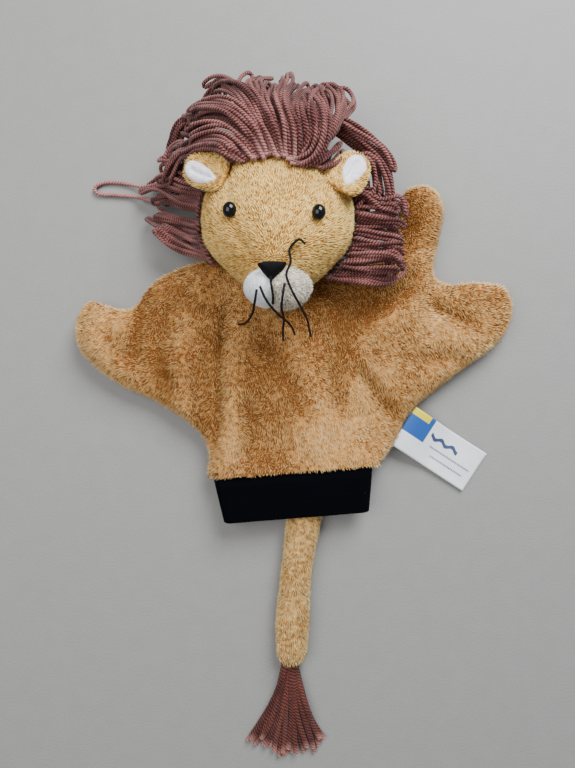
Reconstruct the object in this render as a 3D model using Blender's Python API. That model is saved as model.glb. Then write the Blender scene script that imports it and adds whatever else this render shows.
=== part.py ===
"""A plush lion glove puppet, lying on its back: a sewn glove with a hand pocket, four paws and a knitted
cuff, a stuffed head on a finger sleeve with a yarn mane, and a stuffed tail that ends in a tassel.

Run it with blender --background --python part.py, or from Blender's text editor. Units are metres. The
puppet lies face up on the plane Z = 0. +Y points to the top of the head, +X to the viewer's right, and the
origin is on that plane, under the middle of the glove's back.
"""

import math

import bmesh
import bpy
import numpy as np
from mathutils import Matrix, Vector

# Glove: a flat bag of two plush panels, sewn round its outline
ARM_SPAN = 0.247  # across both paws
GLOVE_HEIGHT = 0.116  # from the wrist hem to the neck
GLOVE_THICKNESS = 0.018
WRIST_Y = -0.045
HEM_WIDTH = 0.0950
HEM_TILT = math.radians(4.6)  # the hem and the cuff lie a little askew
WALL = 0.0022  # plush: knitted backing and pile
EDGE_ROUND = 0.007  # how far in from the outline the bag reaches its full thickness
SEAM_GAP = 0.0003  # between pieces that are sewn or glued together
ROOT_GAP = 0.0005  # between a limb and the glove, or two limbs
OUTLINE_STEPS = 3  # points on the outline for each control point
HEM_SPARE = 0.012  # the bag is made this much longer, then cut square at the hem
MOST_ROUND = 1 / 16.5  # the rim's rounding is at most this share of the glove's height
HALF_SPAN = ARM_SPAN / 2
NECK_Y = WRIST_Y + GLOVE_HEIGHT
SEAM_Z = GLOVE_THICKNESS / 2

# Cuff: a flattened tube of ribbed knit
CUFF_LENGTH = 0.0255
CUFF_WALL = 0.0020
CUFF_HEIGHT = 0.0104
CUFF_TAPER = 0.0085  # how much narrower the cuff is at its mouth than at the hem
CUFF_INSET = 0.0060  # how much narrower the cuff is than the hem that it is sewn to

# Tail and tassel
TAIL_WIDTH = 0.0186
TAIL_HEIGHT = 0.0125
TAIL_LENGTH = 0.108
TAIL_ROOT_X = 0.008
TAIL_ROOT_HEIGHT = 0.0058  # pressed flat where it lies under the cuff
TAIL_ROOT_RADIUS = 0.0045
TAIL_CUFF_ROOM = 0.0075  # the tail stays flat for this far past the cuff, so that it can swing
TAIL_WALL = 0.0016
TAIL_DRIFT = 0.0095  # how far the tail's end lies to the left of its root
TASSEL_LENGTH = 0.052
TASSEL_SPREAD = 0.043  # width at the tips
TASSEL_HEIGHT = 0.0050
TASSEL_ROOT_RADIUS = 0.0055

# Sewn label on the right side seam
LABEL_LENGTH = 0.051
LABEL_WIDTH = 0.0255
LABEL_THICKNESS = 0.0009
LABEL_HEADING = math.radians(-33)
LABEL_ROOT_SHARE = (0.518, 0.211)  # across and up the glove, as body_point takes them
LABEL_START = 0.0012  # clear of the seam
LABEL_TIP_Z = 0.0015

# Head: a stuffed ball, whose jaw carries the muzzle
NECK_Z = SEAM_Z + 0.0015  # the middle of the neck, a little above the glove's seam
HEAD_X = -0.0083
HEAD_Y = NECK_Y + 0.0200
HEAD_Z = NECK_Z + 0.0205
HEAD_RADII = (0.0400, 0.0400, 0.0300)
FACE_SEAMS = (HEAD_X - 0.0217, HEAD_X + 0.0213)  # the seams beside the strip that runs down the face
NOD_Y = NECK_Y + 0.0002  # the crease at the front of the neck, where the head bends forward
NOD_ANGLE = math.radians(32)  # slope of the throat, which leaves room for the nod
TILT_ANGLE = math.radians(12)  # how far the head leans sideways, which widens that room to both sides
SHOULDER_END_Y = NECK_Y + 0.0170  # the underside of the head stays off the shoulders up to here
REST_GAP = 0.0005  # between the head and the shoulders it lies on
MUZZLE_CENTRE = (HEAD_X, HEAD_Y - 0.0370, HEAD_Z + 0.0130)
MUZZLE_RADII = (0.0175, 0.0122, 0.0145)
MOUTH_X = HEAD_X - 0.0027
NOSE_WIDTH = 0.0145
NOSE_HEIGHT = 0.0085
NOSE_LOW_Z = HEAD_Z + 0.0235
NOSE_TOP_Z = HEAD_Z + 0.0296
NOSE_Y = HEAD_Y - 0.0280
NOSE_ROUND = 0.0008
EYE_RADIUS = 0.0036
EYE_DOME = 0.75  # height of the dome as a share of its radius
EYE_SPOTS = ((HEAD_X - 0.0234, HEAD_Y - 0.0019), (HEAD_X + 0.0205, HEAD_Y - 0.0035))
EYE_STEM_RADIUS = 0.0012
EYE_STEM_LENGTH = 0.0070
WASHER_RADIUS = 0.0042
WASHER_THICKNESS = 0.0010

# Neck and the finger sleeve that it leads to
NECK_WIDTH = 0.0340
NECK_HEIGHT = 0.0140
NECK_LENGTH = 0.0125
NECK_WALL = 0.0018
SLEEVE_WIDTH = 0.0240
SLEEVE_LENGTH = 0.0275
SLEEVE_WALL = 0.0010
SLEEVE_PLAY = 0.0005  # between the sleeve and the inside of the neck, above and below
SLEEVE_OVERLAP = 0.0060  # how far the sleeve reaches back into the neck

# Ears
EAR_LENGTH = 0.0245
EAR_WIDTH = 0.0185
EAR_THICKNESS = 0.0050
EAR_RIM = 0.0030  # plush that shows round the white lining
LINING_THICKNESS = 0.0022
EAR_PITCH = math.radians(-18)
EARS = {
    "left": ((HEAD_X - 0.0363, HEAD_Y + 0.0203, HEAD_Z + 0.0170), math.radians(161)),
    "right": ((HEAD_X + 0.0368, HEAD_Y + 0.0195, HEAD_Z + 0.0170), math.radians(62)),
}
EAR_ROOM = 0.0020  # kept clear round an ear, so that it can flap

# Folded paw: the upper left paw is turned under the shoulder
FOLD_LINE_SHARES = ((-0.6580, 0.9350), (-0.3760, 1.0560))  # just past the shoulder's edge
FOLDED_REACH = 0.0430
FOLDED_WIDTH = 0.0250
FOLDED_HEIGHT = 0.0062
FOLD_AXIS_Z = 0.0066

# Mane: bundles of yarn loops round the head, and threads
MANE_TOP_CENTRE = (HEAD_X - 0.0042, HEAD_Y + 0.0475, HEAD_Z - 0.0025)
MANE_TOP_RADII = (0.0430, 0.0270, 0.0280)
MANE_LEFT_TOP_Z = HEAD_Z - 0.0010
MANE_RIGHT_TOP_Z = HEAD_Z + 0.0060
YARN_DIAMETER = 0.0026
WHISKER_DIAMETER = 0.0012

COLOURS = {
    "caramel plush": (0.52, 0.28, 0.09, 0.95),
    "tan plush": (0.60, 0.38, 0.17, 0.95),
    "white plush": (0.82, 0.79, 0.72, 0.95),
    "cream plush": (0.66, 0.58, 0.45, 0.95),
    "black knit": (0.010, 0.012, 0.017, 0.9),
    "rose yarn": (0.26, 0.10, 0.10, 0.9),
    "stuffing": (0.85, 0.85, 0.83, 1.0),
    "lining cloth": (0.55, 0.45, 0.32, 0.9),
    "black plastic": (0.01, 0.01, 0.01, 0.12),
    "black felt": (0.012, 0.011, 0.012, 0.85),
    "washer plastic": (0.75, 0.75, 0.74, 0.4),
    "satin": (0.80, 0.79, 0.86, 0.35),
    "black thread": (0.012, 0.011, 0.013, 0.7),
}


def body_point(across, up):
    """A point on the glove from its share of the half span and of the height from hem to neck."""
    return (across * HALF_SPAN, WRIST_Y + up * GLOVE_HEIGHT)


# Where each limb leaves the glove: the two ends of its root line, and the corner beside the right arm
ARM_LEFT_ROOT = (body_point(-0.695, 0.900), body_point(-0.490, 0.205))
ARM_RIGHT_ROOT = (body_point(0.550, 0.240), body_point(0.644, 0.954))
PAW_RIGHT_ROOT = (body_point(0.644, 0.954), body_point(0.385, 1.015))
FOLD_LINE = tuple(body_point(*share) for share in FOLD_LINE_SHARES)
LABEL_ROOT = body_point(*LABEL_ROOT_SHARE)


def clear_scene():
    """Removes every object of the scene that Blender opens with."""
    for item in list(bpy.data.objects):
        bpy.data.objects.remove(item, do_unlink=True)


def material(name):
    """The Principled material of that name in COLOURS, made once."""
    found = bpy.data.materials.get(name)
    if found:
        return found
    made = bpy.data.materials.new(name)
    made.use_nodes = True
    shader = made.node_tree.nodes["Principled BSDF"]
    red, green, blue, rough = COLOURS[name]
    shader.inputs["Base Color"].default_value = (red, green, blue, 1.0)
    shader.inputs["Roughness"].default_value = rough
    shader.inputs["Metallic"].default_value = 0.0
    made.diffuse_color = (red, green, blue, 1.0)
    return made


def add_object(name, mesh, finish=None, parent=None):
    """Links a mesh as an object; without a finish it is a helper that the build leaves out."""
    item = bpy.data.objects.new(name, mesh)
    bpy.context.scene.collection.objects.link(item)
    if finish:
        if not mesh.materials:
            mesh.materials.append(material(finish))
        item.parent = parent
        if parent:
            item.matrix_parent_inverse = Matrix.Translation(-parent.location)
    else:
        item.hide_render = True
        item.display_type = "WIRE"
    return item


def pivot(name, place):
    """An empty on a joint's axis, which the moving pieces hang from."""
    empty = bpy.data.objects.new(name, None)
    bpy.context.scene.collection.objects.link(empty)
    empty.location = place
    empty.empty_display_size = 0.01
    return empty


def boolean(item, other, operation="DIFFERENCE"):
    """Adds a Boolean modifier to item that cuts, joins or meets it with other."""
    made = item.modifiers.new(operation.title() + " " + other.name, "BOOLEAN")
    made.operation = operation
    made.object = other
    made.solver = "EXACT"


def mesh_of_rings(name, rings):
    """A closed mesh through rings of equal length, with a flat face on the first and the last."""
    shape = bmesh.new()
    made = [[shape.verts.new(point) for point in ring] for ring in rings]
    count = len(rings[0])
    for low, high in zip(made, made[1:]):
        for i in range(count):
            j = (i + 1) % count
            shape.faces.new((low[i], low[j], high[j], high[i]))
    shape.faces.new(list(reversed(made[0])))
    shape.faces.new(made[-1])
    bmesh.ops.recalc_face_normals(shape, faces=shape.faces)
    mesh = bpy.data.meshes.new(name)
    shape.to_mesh(mesh)
    shape.free()
    mesh.shade_smooth()
    mesh.set_sharp_from_angle(angle=math.radians(50))
    return mesh


def smooth_outline(points, corners=(), steps=OUTLINE_STEPS):
    """A closed curve through the points, straight up to each point whose index is in corners."""
    count = len(points)
    spots = np.array(points, float)
    out = []
    for i in range(count):
        before, start, end, after = (spots[(i + k) % count] for k in (-1, 0, 1, 2))
        if i in corners:
            before = 2 * start - end
        if (i + 1) % count in corners:
            after = 2 * end - start
        straight = i in corners and (i + 1) % count in corners
        for step in range(1 if straight else steps):
            t = step / steps
            out.append(
                0.5 * (2 * start + (end - before) * t + (2 * before - 5 * start + 4 * end - after) * t**2
                       + (3 * start - before - 3 * end + after) * t**3)
            )
    return np.array(out)


def inset(outline, distance):
    """The outline moved inwards by the distance, corner by corner. It runs anticlockwise."""
    ahead = np.roll(outline, -1, axis=0) - outline
    ahead /= np.linalg.norm(ahead, axis=1)[:, None]
    normal_after = np.stack([-ahead[:, 1], ahead[:, 0]], axis=1)
    normal_before = np.roll(normal_after, 1, axis=0)
    mitre = normal_after + normal_before
    length = (mitre * mitre).sum(axis=1) / 2
    return outline + distance * mitre / np.maximum(length, 0.35)[:, None]


def flat(ring, z):
    """A ring of (x, y) points, lifted to z."""
    return [(x, y, z) for x, y in ring]


def pillow(name, outline, low, high, rounding, bands=3):
    """A flat solid of the outline's shape, with its rim rounded over the given distance."""
    middle, half = (low + high) / 2, (high - low) / 2
    turns = [math.pi / 2 * k / bands for k in range(bands + 1)]
    under = [flat(inset(outline, rounding * (1 - math.cos(t))), middle - half * math.sin(t)) for t in turns]
    over = [flat(inset(outline, rounding * (1 - math.cos(t))), middle + half * math.sin(t)) for t in turns]
    return mesh_of_rings(name, under[::-1] + over[1:])


def prism(name, outline, low, high):
    """A straight-sided solid of the outline's shape between two heights."""
    return mesh_of_rings(name, [flat(outline, low), flat(outline, high)])


def loft(name, stations, sides=14, squareness=2.5):
    """A tube through (x, y, low, high, half_width) stations along -Y or +Y, rounded like a soft tube."""
    rings = []
    for x, y, low, high, half_width in stations:
        ring = []
        for k in range(sides):
            angle = 2 * math.pi * k / sides
            c, s = math.cos(angle), math.sin(angle)
            across = math.copysign(abs(c) ** (2 / squareness), c) * half_width
            up = math.copysign(abs(s) ** (2 / squareness), s) * (high - low) / 2
            ring.append((x + across, y, (low + high) / 2 + up))
        rings.append(ring)
    return mesh_of_rings(name, rings)


def ball(name, centre, radii, turn=None, segments=20, rings=12):
    """An ellipsoid, turned by a rotation matrix if one is given."""
    shape = bmesh.new()
    bmesh.ops.create_uvsphere(shape, u_segments=segments, v_segments=rings, radius=1)
    place = Matrix.Translation(centre) @ (turn or Matrix.Identity(4)) @ Matrix.Diagonal((*radii, 1))
    bmesh.ops.transform(shape, matrix=place, verts=shape.verts)
    mesh = bpy.data.meshes.new(name)
    shape.to_mesh(mesh)
    shape.free()
    mesh.shade_smooth()
    return mesh


def turned(name, profile, place, sides=16):
    """A body of revolution about local Z from (radius, height) points, top to bottom, then placed."""
    shape = bmesh.new()
    rings = []
    for radius, height in profile:
        if radius == 0:
            rings.append([shape.verts.new(place @ Vector((0, 0, height)))])
            continue
        angles = [2 * math.pi * k / sides for k in range(sides)]
        spots = [Vector((radius * math.cos(a), radius * math.sin(a), height)) for a in angles]
        rings.append([shape.verts.new(place @ spot) for spot in spots])
    pairs = list(zip(rings, rings[1:]))
    if len(rings[0]) > 1:
        pairs.append((rings[-1], rings[0]))
    for upper, lower in pairs:
        for i in range(sides):
            j = (i + 1) % sides
            corners = [ring[k % len(ring)] for ring, k in ((upper, i), (lower, i), (lower, j), (upper, j))]
            shape.faces.new(list(dict.fromkeys(corners)))
    bmesh.ops.recalc_face_normals(shape, faces=shape.faces)
    mesh = bpy.data.meshes.new(name)
    shape.to_mesh(mesh)
    shape.free()
    mesh.shade_smooth()
    mesh.set_sharp_from_angle(angle=math.radians(40))
    return mesh


def thread(name, points, diameter, finish, parent):
    """A round thread along a smooth curve through the points."""
    spots = [Vector(p) for p in points]
    path = []
    for i in range(len(spots) - 1):
        before = spots[i - 1] if i else 2 * spots[0] - spots[1]
        after = spots[i + 2] if i + 2 < len(spots) else 2 * spots[-1] - spots[-2]
        start, end = spots[i], spots[i + 1]
        steps = max(1, round((end - start).length / (2.6 * diameter)))
        for step in range(steps):
            t = step / steps
            path.append(
                0.5 * (2 * start + (end - before) * t + (2 * before - 5 * start + 4 * end - after) * t**2
                       + (3 * start - before - 3 * end + after) * t**3)
            )
    path.append(spots[-1])
    curve = bpy.data.curves.new(name, "CURVE")
    curve.dimensions = "3D"
    curve.bevel_depth = diameter / 2
    curve.bevel_resolution = 2
    curve.use_fill_caps = True
    spline = curve.splines.new("POLY")
    spline.points.add(len(path) - 1)
    for spot, place in zip(spline.points, path):
        spot.co = (*place, 1)
    curve.materials.append(material(finish))
    item = bpy.data.objects.new(name, curve)
    bpy.context.scene.collection.objects.link(item)
    item.parent = parent
    item.matrix_parent_inverse = Matrix.Translation(-parent.location)
    return item


def hem_point(across):
    """A point on the hem line, which leans by HEM_TILT."""
    return (across * math.cos(HEM_TILT), WRIST_Y + across * math.sin(HEM_TILT))


def glove_outline(hem_drop=0.0):
    """The sewn outline, anticlockwise from the right end of the hem. hem_drop moves the hem down."""
    (right_x, right_y), (left_x, left_y) = hem_point(HEM_WIDTH / 2), hem_point(-HEM_WIDTH / 2)
    neck_half = NECK_WIDTH / 2 + WALL
    right = [(0.470, 0.155), (0.545, 0.300), (0.745, 0.474), (0.931, 0.621), (1.0, 0.759), (0.972, 0.888),
             (0.842, 0.920), (0.712, 0.910), (0.644, 0.957), (0.664, 1.129), (0.688, 1.276), (0.648, 1.366),
             (0.575, 1.391), (0.502, 1.345), (0.482, 1.172), (0.405, 1.026)]
    left = [(-0.372, 1.030), (-0.560, 0.970), (-0.664, 0.896), (-0.729, 0.797), (-0.834, 0.802),
            (-0.931, 0.828), (-0.992, 0.716), (-0.964, 0.578), (-0.810, 0.435), (-0.632, 0.345),
            (-0.470, 0.233), (-0.389, 0.112)]
    neck = [(HEAD_X + neck_half, NECK_Y), (HEAD_X - neck_half, NECK_Y)]
    hem = [(left_x, left_y - hem_drop), (right_x, right_y - hem_drop)]
    points = [hem[1]] + [body_point(*p) for p in right] + neck + [body_point(*p) for p in left] + [hem[0]]
    first_neck = 1 + len(right)
    return smooth_outline(points, corners=(0, first_neck, first_neck + 1, len(points) - 1))


def beyond(start, end, room):
    """Both ends of a line, carried on by the room."""
    way = (Vector(end) - Vector(start)).normalized() * room
    return Vector(start) - way, Vector(end) + way


def root_region(name, root, outer, grow):
    """A prism that holds one limb, from its root line out to the corners; grow moves the line inwards."""
    start, end = beyond(*root, 0.006)
    way = (end - start).normalized()
    side = Vector((-way.y, way.x)) * grow
    corners = [start + side, end + side] + [Vector(p) for p in outer]
    return add_object(name, prism(name, [tuple(c) for c in corners], -0.004, GLOVE_THICKNESS + 0.004))


def limb_regions(grow):
    """The three limbs' regions as helper solids. A region grown by the root gap is cut from the glove."""
    far = HALF_SPAN * 1.2
    high, low = NECK_Y + 0.07, WRIST_Y
    tag = "cut" if grow else "keep"
    corner = Vector(ARM_RIGHT_ROOT[1])
    split = corner + Vector((0.055, 0.022))
    return {
        "arm_left": root_region(f"arm_left_{tag}", ARM_LEFT_ROOT, [(-far, low), (-far, NECK_Y)], grow),
        "arm_right": root_region(
            f"arm_right_{tag}", (ARM_RIGHT_ROOT[0], corner - Vector((0, 0.006))),
            [split - Vector((0, ROOT_GAP)), (far, low)], grow),
        "paw_upper_right": root_region(
            f"paw_upper_right_{tag}", PAW_RIGHT_ROOT,
            [(PAW_RIGHT_ROOT[1][0] - 0.004, high), (far, high), split], grow),
    }


def folded_outline(grow):
    """The folded paw lies inside the shoulder, from the fold line towards the middle of the back."""
    start, end = Vector(FOLD_LINE[0]), Vector(FOLD_LINE[1])
    way = (end - start).normalized()
    inward = Vector((way.y, -way.x))
    middle = (start + end) / 2
    half = FOLDED_WIDTH / 2 + grow
    centre = middle + inward * (FOLDED_REACH - FOLDED_WIDTH / 2)
    arc = [centre + half * (inward * math.cos(a) - way * math.sin(a))
           for a in np.linspace(-math.pi / 2, math.pi / 2, 9)]
    base = middle - inward * (0.012 if grow else 0.0)
    points = [base - way * half, *reversed([tuple(a) for a in arc]), base + way * half]
    points = np.array([tuple(p) for p in points], float)
    area = np.sum(points[:, 0] * np.roll(points[:, 1], -1) - points[:, 1] * np.roll(points[:, 0], -1))
    return points if area > 0 else points[::-1]


def make_glove(pivots):
    """The glove's two panels and the six panels of its open limbs, cut from one sewn bag."""
    rounding = min(EDGE_ROUND, GLOVE_HEIGHT * MOST_ROUND)
    bag = pillow("glove bag", glove_outline(HEM_SPARE), 0.0, GLOVE_THICKNESS, rounding)
    bag.materials.append(material("caramel plush"))
    pocket_outline = inset(glove_outline(HEM_SPARE * 2), WALL)
    pocket = add_object("hand_pocket_cutter", pillow(
        "hand pocket", pocket_outline, WALL, GLOVE_THICKNESS - WALL, rounding - WALL / 2, bands=2))
    far = HALF_SPAN * 1.5
    above_hem = [hem_point(-far), hem_point(far), (far, far), (-far, far)]
    under = add_object("below_seam", prism("below seam", above_hem, -0.01, SEAM_Z - SEAM_GAP / 2))
    over = add_object("above_seam", prism(
        "above seam", above_hem, SEAM_Z + SEAM_GAP / 2, GLOVE_THICKNESS + 0.01))
    keep, cut = limb_regions(0.0), limb_regions(ROOT_GAP)
    opening = add_object("neck_opening_cutter", loft("neck opening", [
        (HEAD_X, NECK_Y - 0.02, WALL, GLOVE_THICKNESS - WALL, NECK_WIDTH / 2 - WALL),
        (HEAD_X, NECK_Y + 0.02, WALL, GLOVE_THICKNESS - WALL, NECK_WIDTH / 2 - WALL)]))
    blister = add_object("fold_blister", prism(
        "fold blister", folded_outline(SEAM_GAP + WALL), 0.0005, FOLDED_HEIGHT + SEAM_GAP * 2 + WALL))
    shoulder = add_object("shoulder_limit", bag)
    boolean(blister, shoulder, "INTERSECT")
    recess = add_object("fold_recess_cutter", prism(
        "fold recess", folded_outline(SEAM_GAP), -0.005, FOLDED_HEIGHT + SEAM_GAP * 2))
    for side, half in (("back", under), ("front", over)):
        panel = add_object(f"glove_{side}_panel", bag, "caramel plush")
        boolean(panel, pocket)
        boolean(panel, opening)
        if side == "back":
            boolean(panel, blister, "UNION")
            boolean(panel, recess)
        for region in cut.values():
            boolean(panel, region)
        boolean(panel, half, "INTERSECT")
        for limb, region in keep.items():
            panel = add_object(f"{limb}_{side}_panel", bag, "caramel plush", pivots[limb])
            boolean(panel, pocket)
            boolean(panel, region, "INTERSECT")
            boolean(panel, half, "INTERSECT")


def make_folded_paw(parent):
    """The two panels of the paw that is turned under the shoulder, pressed flat."""
    middle = SEAM_GAP + FOLDED_HEIGHT / 2
    rim = FOLDED_HEIGHT / 2 - SEAM_GAP / 2
    for side, low in (("front", SEAM_GAP), ("back", middle + SEAM_GAP / 2)):
        outline = folded_outline(0.0)
        mesh = prism(f"paw upper left {side}", outline, low, low + rim)
        add_object(f"paw_upper_left_{side}_panel", mesh, "caramel plush", parent)


def make_cuff():
    """A ring of knit, made square to +Y and then turned with the hem."""
    low = TAIL_ROOT_HEIGHT + 4 * SEAM_GAP
    top_half = (HEM_WIDTH - CUFF_INSET) / 2
    bottom_half = top_half - CUFF_TAPER / 2

    def ends(inner, reach):
        slim = CUFF_WALL if inner else 0.0
        return [(0.0, -SEAM_GAP + reach, low + slim, low + CUFF_HEIGHT - slim, top_half - slim),
                (0.0, -CUFF_LENGTH - reach, low + slim, low + CUFF_HEIGHT - slim, bottom_half - slim)]

    turn = Matrix.Translation((0, WRIST_Y, 0)) @ Matrix.Rotation(HEM_TILT, 4, "Z")
    outer = loft("wrist cuff", ends(False, 0.0), sides=28, squareness=3.2)
    inner = loft("cuff hollow", ends(True, 0.006), sides=28, squareness=3.2)
    outer.transform(turn)
    inner.transform(turn)
    cuff = add_object("wrist_cuff", outer, "black knit")
    boolean(cuff, add_object("cuff_cutter", inner))


def tail_station(along, slim=0.0):
    """(x, y, low, high, half_width) of the tail at a distance from its root."""
    flat_run = CUFF_LENGTH + TAIL_CUFF_ROOM
    swell = min(1.0, max(0.0, (along - flat_run) / 0.011))
    swell = swell * swell * (3 - 2 * swell)
    height = TAIL_ROOT_HEIGHT + (TAIL_HEIGHT - TAIL_ROOT_HEIGHT) * swell
    root = math.sqrt(max(0.0, 1 - (1 - min(1.0, along / TAIL_ROOT_RADIUS)) ** 2)) * TAIL_ROOT_RADIUS
    wide = min(1.0, along / 0.016)
    half = root + (TAIL_WIDTH / 2 - TAIL_ROOT_RADIUS) * wide * wide * (3 - 2 * wide)
    left = TAIL_LENGTH - along
    tip = math.sqrt(max(0.04, 1 - max(0.0, 1 - left / 0.007) ** 2))
    share = along / TAIL_LENGTH
    x = TAIL_ROOT_X - TAIL_DRIFT * share * (2 - share)
    y = WRIST_Y - TAIL_ROOT_RADIUS * 0.35 - along
    return x, y, SEAM_GAP + slim, SEAM_GAP + height * (0.55 + 0.45 * tip) - slim, half * tip - slim


def make_tail(tail_pivot, tassel_pivot):
    """The tail's plush cover and its stuffing, and the tassel that hangs on its end."""
    alongs = [0.0012, 0.003, 0.006, 0.011, 0.016, 0.028, 0.033, 0.038, 0.043, 0.06, 0.08, 0.095, 0.102]
    alongs += [TAIL_LENGTH - 0.003, TAIL_LENGTH - 0.0004]
    alongs = [a * TAIL_LENGTH / alongs[-1] if a > 0.05 else a for a in alongs]
    shape = loft("tail cover", [tail_station(a) for a in alongs])
    cover = add_object("tail_cover", shape, "caramel plush", tail_pivot)
    first = tail_station(0.006, TAIL_WALL)
    hollow = [(first[0], WRIST_Y + 0.004, *first[2:])] + [tail_station(a, TAIL_WALL) for a in alongs[2:-2]]
    boolean(cover, add_object("tail_cutter", loft("tail hollow", hollow)))
    inside = [tail_station(a, TAIL_WALL + SEAM_GAP) for a in alongs[2:-2]]
    x, y, *rest = inside[-1]
    inside[-1] = (x, y + SEAM_GAP, *rest)
    add_object("tail_stuffing", loft("tail stuffing", inside), "stuffing", tail_pivot)
    x, y, *_ = tail_station(TAIL_LENGTH)
    root = (x, y - TASSEL_ROOT_RADIUS - ROOT_GAP)
    arc = [(root[0] + TASSEL_ROOT_RADIUS * math.cos(a), root[1] + TASSEL_ROOT_RADIUS * math.sin(a))
           for a in np.linspace(0, math.pi, 7)]
    reach = TASSEL_LENGTH - TASSEL_ROOT_RADIUS
    half_angle = math.asin(TASSEL_SPREAD / 2 / reach)
    tips = [(root[0] + reach * math.sin(a), root[1] - reach * math.cos(a))
            for a in np.linspace(-half_angle, half_angle, 7)]
    outline = np.array(arc + tips)
    mesh = pillow("tail tassel", outline, SEAM_GAP, SEAM_GAP + TASSEL_HEIGHT, 0.0015, bands=2)
    add_object("tail_tassel", mesh, "rose yarn", tassel_pivot)


def make_label(parent):
    """A strip of satin from the side seam down to the table."""
    lean = math.asin((SEAM_Z - LABEL_TIP_Z) / LABEL_LENGTH)
    place = (Matrix.Translation((*LABEL_ROOT, SEAM_Z)) @ Matrix.Rotation(LABEL_HEADING, 4, "Z")
             @ Matrix.Rotation(lean, 4, "Y"))
    half = LABEL_WIDTH / 2
    outline = [(LABEL_START, -half), (LABEL_LENGTH, -half), (LABEL_LENGTH, half), (LABEL_START, half)]
    mesh = prism("sewn label", outline, 0.0, LABEL_THICKNESS)
    mesh.transform(place)
    add_object("sewn_label", mesh, "satin", parent)


def head_form(name, shrink):
    """The head as a closed helper solid, drawn in by shrink, with room for the shoulders and the nod."""
    radii = [r - shrink for r in HEAD_RADII]
    form = add_object(name, ball(name, (HEAD_X, HEAD_Y, HEAD_Z), radii))
    boolean(form, clearance(f"{name}_clearance", shrink))
    return form


def clearance(name, grow, lean=TILT_ANGLE):
    """The space over the shoulders and under the throat that nothing on the head may enter.

    The throat's slope starts further back towards both sides, so that the head can lean and nod at once.
    """
    level = GLOVE_THICKNESS + REST_GAP + grow
    low, front, back = -0.02, WRIST_Y, SHOULDER_END_Y + grow
    reach = HEAD_RADII[0] * 1.2
    rings = []
    for side in (-reach, 0.0, reach):
        crease = min(NOD_Y + abs(side) * math.tan(lean), back - grow)
        top = level + (crease - front) * math.tan(NOD_ANGLE)
        rings.append([(HEAD_X + side, y, z)
                      for y, z in ((front, low), (back, low), (back, level), (crease, level), (front, top))])
    for ring, end in ((rings[0], -HALF_SPAN), (rings[-1], HALF_SPAN)):
        rings.append([(end, y, z) for _, y, z in ring])
    return add_object(name, mesh_of_rings(name, [rings[3], *rings[:3], rings[4]]))


def block(name, low, high):
    """A box between two corners, as a helper."""
    outline = [(low[0], low[1]), (high[0], low[1]), (high[0], high[1]), (low[0], high[1])]
    return add_object(name, prism(name, outline, low[2], high[2]))


def head_normal(x, y):
    """The point on the front of the head above (x, y), and the way out from it."""
    rx, ry, rz = HEAD_RADII
    dx, dy = x - HEAD_X, y - HEAD_Y
    dz = rz * math.sqrt(1 - (dx / rx) ** 2 - (dy / ry) ** 2)
    return Vector((x, y, HEAD_Z + dz)), Vector((dx / rx**2, dy / ry**2, dz / rz**2)).normalized()


def facing(place, normal):
    """A placement at a point whose local Z is the normal."""
    return Matrix.Translation(place) @ normal.to_track_quat("Z", "Y").to_matrix().to_4x4()


def make_eyes(parent):
    """Each eye with its stem and the washer that locks it, and the holes for them."""
    through, seats = [], []
    for side, spot in zip(("left", "right"), EYE_SPOTS):
        place, normal = head_normal(*spot)
        at = facing(place + normal * SEAM_GAP, normal)
        crown = EYE_RADIUS * EYE_DOME
        dome = [(EYE_RADIUS * math.cos(a), crown * math.sin(a)) for a in (1.2, 0.85, 0.45, 0.0)]
        stem = [(EYE_STEM_RADIUS, 0.0), (EYE_STEM_RADIUS, -EYE_STEM_LENGTH), (0, -EYE_STEM_LENGTH)]
        profile = [(0, crown)] + dome + stem
        add_object(f"eye_{side}", turned(f"eye {side}", profile, at), "black plastic", parent)
        top = -(WALL + 3 * SEAM_GAP)
        bottom = top - WASHER_THICKNESS
        bore = EYE_STEM_RADIUS + SEAM_GAP
        ring = [(bore, top), (WASHER_RADIUS, top), (WASHER_RADIUS, bottom), (bore, bottom)]
        add_object(f"eye_washer_{side}", turned(f"eye washer {side}", ring, at), "washer plastic", parent)
        hole = [(0, 0.01), (bore, 0.01), (bore, -0.012), (0, -0.012)]
        through.append(add_object(f"eye_hole_{side}", turned(f"eye hole {side}", hole, at)))
        wide, deep = WASHER_RADIUS + SEAM_GAP, -EYE_STEM_LENGTH - SEAM_GAP
        seat = [(0, 0.01), (wide, 0.01), (wide, deep), (0, deep)]
        seats.append(add_object(f"washer_seat_{side}", turned(f"washer seat {side}", seat, at)))
    return through, seats


def sleeve_stations(slim, start, end):
    """The finger sleeve's outline, drawn in by slim, from one y to another."""
    tall, wide = NECK_HEIGHT / 2 - NECK_WALL - SLEEVE_PLAY - slim, SLEEVE_WIDTH / 2 - slim
    return [(HEAD_X, y, NECK_Z - tall, NECK_Z + tall, wide) for y in (start, end)]


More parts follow.
